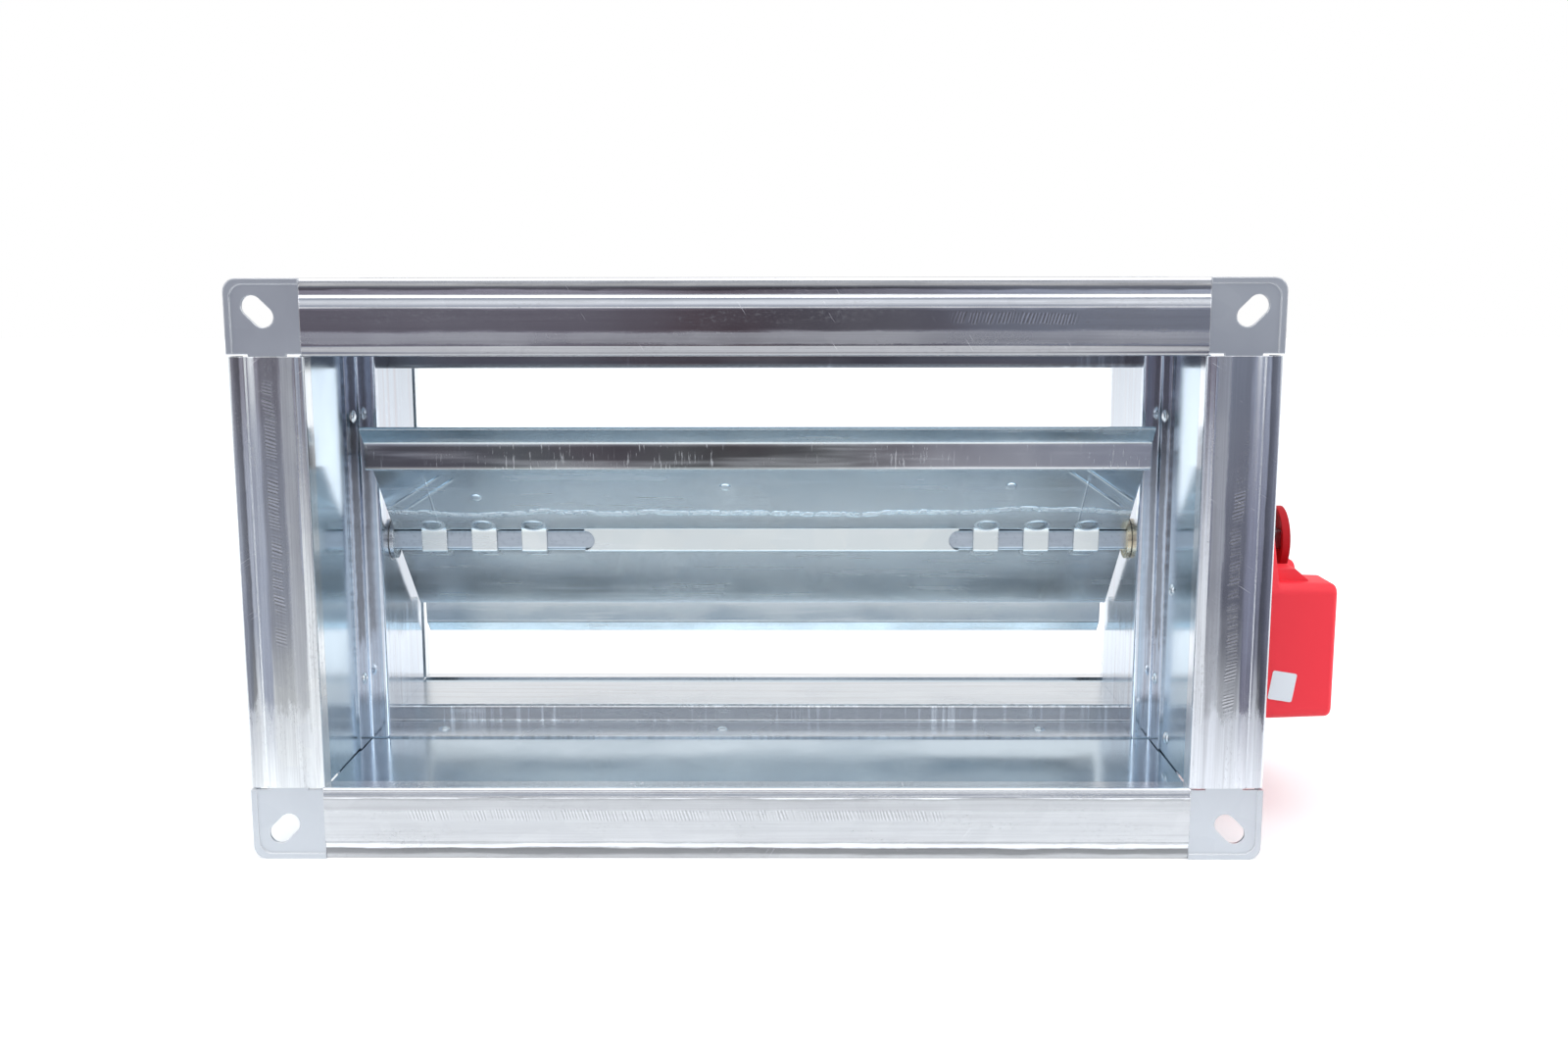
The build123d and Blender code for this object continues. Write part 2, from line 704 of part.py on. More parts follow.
nuts = []
for y in (-clamp_rod_reach, clamp_rod_reach):
    rod_hole = Pos(clamp_middle_x, shaft_y + y, bridge_bottom) * Cylinder(
        clamp_rod_radius + screw_hole_clearance, 4 * clamp_bridge_height
    )
    bridge = bridge - rod_hole
    nut_face = RegularPolygon(clamp_nut_across / 2, 6, major_radius=False, rotation=30) - Circle(
        clamp_rod_radius + bush_clearance
    )
    nuts.append(Pos(clamp_middle_x, shaft_y + y, bridge_top) * extrude(nut_face, amount=clamp_nut_height))
nodes["clamp_bridge"] = bridge
nodes["clamp_bolt"] = clamp_bolt
nodes["clamp_nuts"] = group(nuts)

ring_end_x = ring_x + ring_depth
ring = rod_x(ring_radius, ring_x, ring_end_x)
ring = ring - rod_x(ring_radius - ring_wall, ring_x, ring_end_x - ring_plate)
ring = ring - along_x(square_hole, ring_x, ring_end_x)
nodes["indicator_ring"] = ring

os.makedirs("parts", exist_ok=True)
for name, shape in nodes.items():
    shape.label = name
    export_step(shape, "parts/" + name + ".step")
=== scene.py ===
import logging
import math
from dataclasses import dataclass
from enum import Enum
from functools import reduce

import bmesh
import bpy
from mathutils import Euler, Matrix, Vector


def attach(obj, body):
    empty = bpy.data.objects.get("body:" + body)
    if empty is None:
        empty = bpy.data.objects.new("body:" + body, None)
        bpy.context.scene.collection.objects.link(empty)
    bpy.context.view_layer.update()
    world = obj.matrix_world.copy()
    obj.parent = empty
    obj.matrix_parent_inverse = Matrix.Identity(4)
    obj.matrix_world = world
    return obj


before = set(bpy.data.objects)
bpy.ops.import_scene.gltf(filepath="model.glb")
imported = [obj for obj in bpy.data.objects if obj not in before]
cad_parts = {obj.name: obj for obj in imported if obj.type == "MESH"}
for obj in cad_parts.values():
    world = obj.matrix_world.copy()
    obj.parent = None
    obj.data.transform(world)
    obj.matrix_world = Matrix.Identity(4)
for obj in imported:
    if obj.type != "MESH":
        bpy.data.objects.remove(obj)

log = logging.getLogger("fire_damper")

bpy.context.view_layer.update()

# A node's output, a vector or colour, and a row of places in metres with their tones.
Output = bpy.types.NodeSocket
Triple = tuple[float, float, float]
Stops = tuple[tuple[float, float], ...]


class Length(Enum):
    """The direction in which a strip was rolled, with half the duct's opening across it."""

    X = 0.1
    Z = 0.2


class Canvas:
    """Adds and joins nodes in one node tree."""

    def __init__(self, tree: bpy.types.NodeTree) -> None:
        """Starts on the tree of a material, a world or a node group."""
        self.tree = tree

    def fill(self, node: bpy.types.Node, inputs: dict[str | int, object]) -> None:
        """Sets inputs of a node, or joins them to outputs.

        Args:
            node: the node that gets the values.
            inputs: an output or a plain value for each input's name or number.
        """
        for name, value in inputs.items():
            if isinstance(value, Output):
                self.tree.links.new(value, node.inputs[name])
            else:
                node.inputs[name].default_value = value

    def node(self, kind: str, inputs: dict[str | int, object] | None = None,
             **settings: object) -> bpy.types.Node:
        """Adds a node.

        Args:
            kind: the node's type name, without its ShaderNode prefix.
            inputs: an output or a plain value for each input's name or number.
            settings: properties of the node, which are set before its inputs.

        Returns:
            The new node.
        """
        node = self.tree.nodes.new("ShaderNode" + kind)
        for name, value in settings.items():
            setattr(node, name, value)
        self.fill(node, inputs or {})
        return node

    def use(self, effect: bpy.types.NodeTree, **inputs: object) -> bpy.types.NodeOutputs:
        """Places a shared effect and gives its outputs."""
        return self.node("Group", inputs, node_tree=effect).outputs

    def math(self, operation: str, first: object, second: object = 0.0) -> Output:
        """Joins two values by one of Blender's operations."""
        return self.node("Math", {0: first, 1: second}, operation=operation).outputs[0]

    def times(self, *values: object) -> Output:
        """Product of the values."""
        return reduce(lambda first, second: self.math("MULTIPLY", first, second), values)

    def plus(self, *values: object) -> Output:
        """Sum of the values."""
        return reduce(lambda first, second: self.math("ADD", first, second), values)

    def minus(self, first: object, second: object) -> Output:
        """First value less the second."""
        return self.math("SUBTRACT", first, second)

    def over(self, first: object, second: object) -> Output:
        """First value divided by the second."""
        return self.math("DIVIDE", first, second)

    def size(self, value: object) -> Output:
        """The value without its sign."""
        return self.math("ABSOLUTE", value)

    def vector(self, operation: str, first: object, second: object = (0.0, 0.0, 0.0)) -> Output:
        """Joins two vectors by one of Blender's operations, to a vector or a number."""
        node = self.node("VectorMath", {0: first, 1: second}, operation=operation)
        return node.outputs["Value" if operation in ("DOT_PRODUCT", "DISTANCE", "LENGTH") else 0]

    def stretch(self, vector: object, factors: Triple) -> Output:
        """Scales a vector by a factor for each axis."""
        return self.vector("MULTIPLY", vector, factors)

    def parts(self, vector: object) -> list[Output]:
        """The three parts of a vector."""
        return list(self.node("SeparateXYZ", {0: vector}).outputs)

    def join(self, *parts: object) -> Output:
        """The vector of three parts."""
        return self.node("CombineXYZ", dict(enumerate(parts))).outputs[0]

    def lean(self, vector: object, angle: float) -> Output:
        """Turns a vector in its own plane, by an angle in radians."""
        inputs = {"Vector": vector, "Angle": angle}
        return self.node("VectorRotate", inputs, rotation_type="Z_AXIS").outputs[0]

    def relief(self, height: object, normal: object, strength: float) -> Output:
        """Turns a height in metres into a normal, starting from another normal."""
        inputs = {"Strength": strength, "Distance": 1.0, "Height": height, "Normal": normal}
        return self.node("Bump", inputs).outputs[0]

    def seen(self) -> Output:
        """Whether a camera, a gloss or glass looks along the ray."""
        path = self.node("LightPath").outputs
        direct = self.math("MAXIMUM", path["Is Camera Ray"], path["Is Glossy Ray"])
        return self.math("MAXIMUM", direct, path["Is Transmission Ray"])

    def span(self, value: object, low: float, high: float, out_low: float = 0.0,
             out_high: float = 1.0, way: str = "SMOOTHSTEP") -> Output:
        """Maps a range of a value to another range.

        Args:
            value: the value to map.
            low: start of the range.
            high: end of the range.
            out_low: result at the start.
            out_high: result at the end.
            way: whether the result eases in and out or rises evenly, in Blender's words.

        Returns:
            The mapped value.
        """
        inputs = {"Value": value, "From Min": low, "From Max": high, "To Min": out_low,
                  "To Max": out_high}
        return self.node("MapRange", inputs, interpolation_type=way).outputs[0]

    def between(self, value: object, low: float, full: float, fading: float,
                high: float) -> Output:
        """Mask that rises from low to full and falls again from fading to high."""
        return self.times(self.span(value, low, full), self.span(value, high, fading))

    def mix(self, share: object, first: object, second: object, blend: str = "MIX") -> Output:
        """Mixes a share of the second colour into the first.

        Args:
            share: how much of the second colour.
            first: the first colour, as three numbers or an output.
            second: the second colour, likewise.
            blend: the way they are mixed.

        Returns:
            The mixed colour.
        """
        pair = [(*colour, 1) if isinstance(colour, tuple) else colour for colour in (first, second)]
        inputs = {0: share, 6: pair[0], 7: pair[1]}
        return self.node("Mix", inputs, data_type="RGBA", blend_type=blend).outputs[2]

    def shade_tones(self, value: object, stops: Stops) -> Output:
        """Reads a tone from a row of stops.

        Args:
            value: the place, in metres.
            stops: places and their tones, in rising order.

        Returns:
            The tone.
        """
        low, high = stops[0][0], stops[-1][0]
        node = self.node("ValToRGB", {0: self.over(self.minus(value, low), high - low)})
        steps = node.color_ramp.elements
        while len(steps) < len(stops):
            steps.new(0.5)
        for step, (place, tone) in zip(steps, stops):
            step.position = (place - low) / (high - low)
            step.color = (tone, tone, tone, 1)
        return node.outputs["Color"]

    def noise(self, vector: object, scale: object, detail: float = 3.0, rough: float = 0.5,
              twist: float = 0.0) -> Output:
        """Noise texture.

        Args:
            vector: where to read it.
            scale: features in each metre, or a tuple of them for the three axes.
            detail: how many finer layers it has.
            rough: how strong the finer layers are.
            twist: how far it is distorted.

        Returns:
            The noise's value.
        """
        if isinstance(scale, tuple):
            vector, scale = self.stretch(vector, scale), 1.0
        inputs = {"Vector": vector, "Scale": scale, "Detail": detail, "Roughness": rough,
                  "Distortion": twist}
        return self.node("TexNoise", inputs).outputs["Fac"]

    def place(self) -> Output:
        """Place on the object, in metres."""
        return self.node("TexCoord").outputs["Object"]

    def strip(self, along: Length) -> tuple[Output, Output]:
        """Coordinates of a strip that frames the duct's opening.

        Args:
            along: the strip's length.

        Returns:
            A vector of the place along it, across it and through it, and the place across alone.
        """
        parts = self.parts(self.place())
        run, side = (parts[0], parts[2]) if along is Length.X else (parts[2], parts[0])
        across = self.minus(self.size(side), along.value)
        return self.join(run, self.plus(across, self.math("SIGN", side)), parts[1]), across


def new_group(name: str, inputs: tuple[str, ...],
              outputs: tuple[str, ...]) -> tuple[Canvas, bpy.types.NodeOutputs, bpy.types.Node]:
    """Starts a shared effect as a shader node group.

    Args:
        name: the group's name.
        inputs: its inputs; those called Vector are vectors, the others numbers.
        outputs: its outputs; those called Normal are vectors, the others numbers.

    Returns:
        The group's canvas, the outputs that give its inputs and the node that takes its results.
    """
    tree = bpy.data.node_groups.new(name, "ShaderNodeTree")
    for way, labels in (("INPUT", inputs), ("OUTPUT", outputs)):
        for label in labels:
            kind = "NodeSocketVector" if label in ("Vector", "Normal") else "NodeSocketFloat"
            tree.interface.new_socket(label, in_out=way, socket_type=kind)
    start = tree.nodes.new("NodeGroupInput").outputs
    return Canvas(tree), start, tree.nodes.new("NodeGroupOutput")


def new_material(name: str) -> tuple[bpy.types.Material, Canvas, bpy.types.Node]:
    """Starts a material.

    Args:
        name: the material's name.

    Returns:
        The material, its canvas and its shader.
    """
    material = bpy.data.materials.new(name)
    material.use_nodes = True
    return material, Canvas(material.node_tree), material.node_tree.nodes["Principled BSDF"]


class Effects:
    """The effects that several finishes share, each as a node group."""

    def __init__(self) -> None:
        """Builds every effect once."""
        self.edge = self.build_edge()
        self.spangle = self.build_spangle()
        self.rolled = self.build_rolled()
        self.dashes = self.build_dashes()
        self.scuffs = self.build_scuffs()
        self.waves = self.build_waves()
        self.grain = self.build_grain()
        log.info("shared effects: %d", len(vars(self)))

    def build_edge(self) -> bpy.types.NodeTree:
        """Soft folded edges and a painted highlight line along them.

        Returns:
            The group.
        """
        canvas, start, end = new_group("folded_edge", ("Radius",), ("Normal", "EdgeHighlight"))
        soft = canvas.node("Bevel", {"Radius": start["Radius"]}, samples=4).outputs[0]
        turn = canvas.vector("DOT_PRODUCT", soft, canvas.node("NewGeometry").outputs["Normal"])
        canvas.fill(end, {"Normal": soft, "EdgeHighlight": canvas.span(turn, 0.99, 0.72)})
        return canvas.tree

    def build_spangle(self) -> bpy.types.NodeTree:
        """Crystals of hot-dip zinc.

        Returns:
            The group.
        """
        canvas, start, end = new_group("zinc_spangle", ("Vector",), ("Tone", "Cloud"))
        place = start["Vector"]
        bend = canvas.node("TexNoise", {"Vector": place, "Scale": 60.0}).outputs["Color"]
        warp = canvas.vector("ADD", place, canvas.stretch(bend, (0.012, 0.012, 0.012)))
        cells = canvas.node("TexVoronoi", {"Vector": warp, "Scale": 90.0}).outputs["Color"]
        crystal = canvas.node("SeparateColor", {0: cells}).outputs[0]
        fine = canvas.noise(place, 900.0, 4.0, 0.6)
        cloud = canvas.noise(place, 14.0, 3.0, 0.55)
        canvas.fill(end, {"Tone": canvas.plus(canvas.times(crystal, 0.6), canvas.times(fine, 0.4)),
                          "Cloud": canvas.span(cloud, 0.3, 0.7)})
        return canvas.tree

    def build_rolled(self) -> bpy.types.NodeTree:
        """Fine lines that rolling leaves along a strip.

        Returns:
            The group.
        """
        canvas, start, end = new_group("rolled_lines", ("Vector",), ("Tone", "Height"))
        fine = canvas.noise(start["Vector"], (14.0, 1700.0, 300.0), 3.0, 0.6)
        broad = canvas.noise(start["Vector"], (5.0, 330.0, 60.0), 2.0)
        both = canvas.plus(canvas.times(fine, 0.55), canvas.times(broad, 0.45))
        canvas.fill(end, {"Tone": canvas.span(both, 0.35, 0.68), "Height": both})
        return canvas.tree

    def build_dashes(self) -> bpy.types.NodeTree:
        """Column of short cross dashes that the forming rolls press into a strip.

        Returns:
            The group.
        """
        canvas, start, end = new_group(
            "roll_dashes", ("Vector", "Across", "Middle", "Width"), ("Dark", "Light"))
        place = start["Vector"]
        drift = canvas.times(canvas.minus(canvas.noise(place, (40.0, 3.0, 8.0), 2.0), 0.5), 0.004)
        off = canvas.minus(canvas.minus(start["Across"], start["Middle"]), drift)
        near = canvas.over(canvas.size(off), start["Width"])
        ends = canvas.noise(place, (900.0, 120.0, 8.0), 2.0)
        inside = canvas.span(canvas.plus(near, ends), 1.45, 1.2)
        lean = canvas.lean(place, 0.30)
        pitch = 0.0015
        uneven = canvas.times(canvas.noise(place, (170.0, 30.0, 8.0), 2.0), 9.0)
        turns = canvas.plus(canvas.times(canvas.parts(lean)[0], math.tau / pitch), uneven)
        stripes = canvas.math("SINE", turns)
        faint = canvas.span(canvas.noise(lean, (330.0, 30.0, 8.0), 1.0), 0.30, 0.55)
        groups = canvas.span(canvas.noise(place, (34.0, 3.0, 8.0)), 0.34, 0.48)
        mask = canvas.times(inside, groups, faint)
        canvas.fill(end, {"Dark": canvas.times(canvas.span(stripes, 0.2, 0.75), mask),
                          "Light": canvas.times(canvas.span(stripes, -0.3, -0.8), mask)})
        return canvas.tree

    def build_scuffs(self) -> bpy.types.NodeTree:
        """Thin scratches, fine rubbed specks and long dull streaks from handling.

        Returns:
            The group.
        """
        canvas, start, end = new_group(
            "handling_scuffs", ("Vector",), ("Scratch", "Specks", "Streak"))
        place = start["Vector"]
        thin = canvas.noise(canvas.lean(place, 1.0), (60.0, 2200.0, 8.0), 1.0)
        rare = canvas.span(canvas.noise(place, 70.0, 2.0), 0.55, 0.7)
        specks = canvas.noise(place, (420.0, 900.0, 300.0), 5.0, 0.75)
        worn = canvas.span(canvas.noise(place, (16.0, 150.0, 40.0), 3.0, 0.6), 0.46, 0.62)
        streak = canvas.noise(place, (9.0, 260.0, 80.0), 4.0, 0.6)
        canvas.fill(end, {"Scratch": canvas.times(canvas.span(thin, 0.68, 0.74), rare),
                          "Specks": canvas.times(canvas.span(specks, 0.52, 0.62), worn),
                          "Streak": canvas.span(streak, 0.5, 0.66)})
        return canvas.tree

    def build_waves(self) -> bpy.types.NodeTree:
        """Slight waves of thin sheet that bend its reflections.

        Returns:
            The group.
        """
        canvas, start, end = new_group("sheet_waves", ("Vector", "Scale"), ("Height",))
        waves = canvas.noise(start["Vector"], start["Scale"], 2.0, 0.4, 0.4)
        canvas.fill(end, {"Height": waves})
        return canvas.tree

    def build_grain(self) -> bpy.types.NodeTree:
        """Fine matt grain of moulded plastic.

        Returns:
            The group.
        """
        canvas, start, end = new_group("moulded_grain", ("Vector",), ("Height", "Tone"))
        canvas.fill(end, {"Height": canvas.noise(start["Vector"], 1500.0, 3.0, 0.6),
                          "Tone": canvas.noise(start["Vector"], 22.0, 3.0, 0.6)})
        return canvas.tree


@dataclass
class Coat:
    """What a finish has worked out so far: its colour, its roughness and its relief's height."""

    canvas: Canvas
    colour: Output
    rough: Output
    height: Output

    def band(self, place: Output, stops: Stops) -> None:
        """Darkens the colour by a row of tones: painted shade and painted reflection in bands."""
        shade_tones = self.canvas.shade_tones(place, stops)
        self.colour = self.canvas.mix(1.0, self.colour, shade_tones, "MULTIPLY")

    def tint(self, mask: object, amount: object, shade: object) -> None:
        """Mixes a shade in where a mask shows."""
        self.colour = self.canvas.mix(self.canvas.times(mask, amount), self.colour, shade)

    def roughen(self, mask: object, amount: float) -> None:
        """Adds roughness where a mask shows."""
        self.rough = self.canvas.plus(self.rough, self.canvas.times(mask, amount))

    def lift(self, *heights: object) -> None:
        """Adds heights to the relief."""
        self.height = self.canvas.plus(self.height, *heights)


@dataclass(frozen=True)
class ZincFinish:
    """Zinc-coated steel sheet with soft crystals and slight waves."""

    name: str
    bright: Triple
    dull: Triple
    roughness: float
    rough_spread: float
    spangle: float
    waves: float
    wave_scale: float = 9.0
    edge_radius: float = 0.0005
    edge_highlight: float = 0.55
    edge_highlight_colour: Triple = (0.95, 0.96, 0.98)

    def places(self, canvas: Canvas) -> tuple[Output, Output | None]:
        """The place that the noises read, and the place across the strip where it has one."""
        return canvas.place(), None

    def detail(self, coat: Coat, effects: Effects, place: Output, across: Output | None) -> None:
        """Adds what only this kind of sheet shows; plain sheet adds nothing."""

    def pale_end(self, canvas: Canvas, place: Output, level: float) -> Output:
        """Mask of an upright strip's low end, with a ragged rim.

        Args:
            canvas: the material's canvas.
            place: the place along the strip and across it.
            level: height of the rim.

        Returns:
            The mask.
        """
        ragged = canvas.noise(place, (45.0, 170.0, 8.0), 4.0, 0.65)
        run = canvas.plus(canvas.parts(place)[0], canvas.times(canvas.minus(ragged, 0.5), 0.05))
        return canvas.span(run, level + 0.004, level - 0.006)

    def build(self, effects: Effects) -> bpy.types.Material:
        """Makes the material.

        Args:
            effects: the shared effects.

        Returns:
            The material.
        """
        material, canvas, shader = new_material(self.name)
        place, across = self.places(canvas)
        edge = canvas.use(effects.edge, Radius=self.edge_radius)
        spangle = canvas.use(effects.spangle, Vector=place)
        waves = canvas.use(effects.waves, Vector=place, Scale=self.wave_scale)
        coat = Coat(
            canvas,
            canvas.mix(canvas.times(spangle["Tone"], self.spangle), self.bright, self.dull),
            canvas.plus(canvas.times(spangle["Cloud"], self.rough_spread), self.roughness),
            canvas.times(waves["Height"], self.waves))
        self.detail(coat, effects, place, across)
        # Painted highlight: a lighter colour along the folded edges.
        coat.tint(edge["EdgeHighlight"], self.edge_highlight, self.edge_highlight_colour)
        canvas.fill(shader, {"Base Color": coat.colour, "Roughness": coat.rough, "Metallic": 1.0,
                             "Normal": canvas.relief(coat.height, edge["Normal"], 1.0)})
        return material


@dataclass(frozen=True)
class StripFinish(ZincFinish):
    """Roll-formed strip round the duct, with painted shade and reflection in bands along its
    length.
    """

    along: Length = Length.X
    shade_tones: Stops = ((0.0, 1.0), (0.034, 1.0))
    lines: float = 0.65
    worn: tuple[float, float] = (0.0042, 0.0098)
    dashes: float = 1.0
    dash_middle: float = 0.0155
    dash_width: float = 0.0028
    dash_run: tuple[float, float] = (-0.19, 0.19)
    pale_under: float | None = None
    lip: float = 0.0009
    shoulder: float = 0.0011
    outer: float = 0.0004

    def places(self, canvas: Canvas) -> tuple[Output, Output | None]:
        """The place along, across and through the strip, and the place across alone."""
        return canvas.strip(self.along)

    def detail(self, coat: Coat, effects: Effects, place: Output, across: Output | None) -> None:
        """Adds the painted shade bands, rolling lines, cross dashes, scratches and the bent edges.

        Args:
            coat: the finish so far, which this changes.
            effects: the shared effects.
            place: the place along, across and through the strip.
            across: the distance from the strip's inner edge.
        """
        canvas = coat.canvas
        rolled = canvas.use(effects.rolled, Vector=place)
        scuffs = canvas.use(effects.scuffs, Vector=place)
        dashes = canvas.use(effects.dashes, Vector=place, Across=across,
                            Middle=self.dash_middle, Width=self.dash_width)
        teeth = canvas.noise(place, (22.0, 240.0, 8.0), 4.0, 0.65)
        ragged = canvas.plus(across, canvas.times(canvas.minus(teeth, 0.5), 0.0035))
        plain = coat.colour
        # Painted shade and painted reflection: dark and light bands across the strip.
        coat.band(ragged, self.shade_tones)
        if self.pale_under is not None:
            pale = self.pale_end(canvas, place, self.pale_under)
            coat.tint(pale, 0.82, plain)
            coat.roughen(pale, 0.14)
        low, high = self.worn
        rubbed = canvas.between(ragged, low - 0.0006, low + 0.0008, high - 0.0008, high + 0.0010)
        first, last = self.dash_run
        within = canvas.times(self.dashes, canvas.between(
            canvas.parts(place)[0], first - 0.004, first + 0.004, last - 0.004, last + 0.004))
        dark = canvas.times(dashes["Dark"], within)
        light = canvas.times(dashes["Light"], within)
        for mask, amount, shade in (
                (rolled["Tone"], 0.50 * self.lines, 0.34),
                (scuffs["Streak"], 0.45 * self.lines, 0.40),
                (scuffs["Specks"], 0.40 * self.lines, 0.30),
                (dark, 0.80, 0.20), (light, 0.65, 0.98), (scuffs["Scratch"], 0.60, 0.97)):
            coat.tint(mask, amount, (shade, shade, 1.06 * shade))
        for mask, amount in ((rubbed, 0.16), (scuffs["Scratch"], 0.25), (dark, 0.12),
                             (scuffs["Specks"], 0.10)):
            coat.roughen(mask, amount)
        coat.lift(canvas.span(across, 0.0037, 0.0006, 0.0, -self.lip),
                  canvas.span(across, 0.0198, 0.0254, 0.0, -self.shoulder),
                  canvas.span(across, 0.0290, 0.0335, 0.0, -self.outer),
                  canvas.times(rolled["Height"], 0.000014 * self.lines),
                  canvas.times(dark, -0.00004))


@dataclass(frozen=True)
class LegFinish(ZincFinish):
    """Folded leg of the inner frame, with painted shade and reflection in dark bands along its
    length.
    """

    along: Length = Length.Z
    front: float = 0.039
    shade_tones: Stops = ((0.0, 1.0), (0.1, 1.0))
    marks: float = 0.8
    pale_under: float | None = None

    def places(self, canvas: Canvas) -> tuple[Output, Output | None]:
        """The place along the leg and back from its front edge, and the latter alone."""
        parts = canvas.parts(canvas.place())
        back = canvas.minus(parts[1], self.front)
        run, side = (parts[0], parts[2]) if self.along is Length.X else (parts[2], parts[0])
        return canvas.join(run, back, canvas.times(side, 3.0)), back

    def detail(self, coat: Coat, effects: Effects, place: Output, across: Output | None) -> None:
        """Adds the painted shade bands with their ragged rims, rolling lines and specks.

        Args:
            coat: the finish so far, which this changes.
            effects: the shared effects.
            place: the place along the leg and back from its front edge.
            across: the distance back from the leg's front edge.
        """
        canvas = coat.canvas
        rolled = canvas.use(effects.rolled, Vector=place)
        scuffs = canvas.use(effects.scuffs, Vector=place)
        teeth = canvas.noise(place, (260.0, 140.0, 3.0), 3.0, 0.6)
        drift = canvas.noise(place, (12.0, 20.0, 3.0), 2.0)
        shift = canvas.times(canvas.minus(canvas.plus(teeth, drift), 1.0), 0.006)
        plain = coat.colour
        # Painted shade and painted reflection: dark and light bands back from the leg's front edge.
        coat.band(canvas.plus(across, shift), self.shade_tones)
        if self.pale_under is not None:
            pale = canvas.times(self.pale_end(canvas, place, self.pale_under),
                                canvas.span(across, 0.003, 0.005))
            coat.tint(pale, 0.7, plain)
        for mask, amount, shade in (
                (rolled["Tone"], 0.35 * self.marks, (0.34, 0.32, 0.36)),
                (scuffs["Streak"], 0.40 * self.marks, (0.36, 0.29, 0.29)),
                (scuffs["Specks"], 0.35 * self.marks, (0.26, 0.26, 0.30)),
                (scuffs["Scratch"], 0.45, (0.96, 0.97, 0.98))):
            coat.tint(mask, amount, shade)
        coat.lift(canvas.times(rolled["Height"], 0.00001 * self.marks))


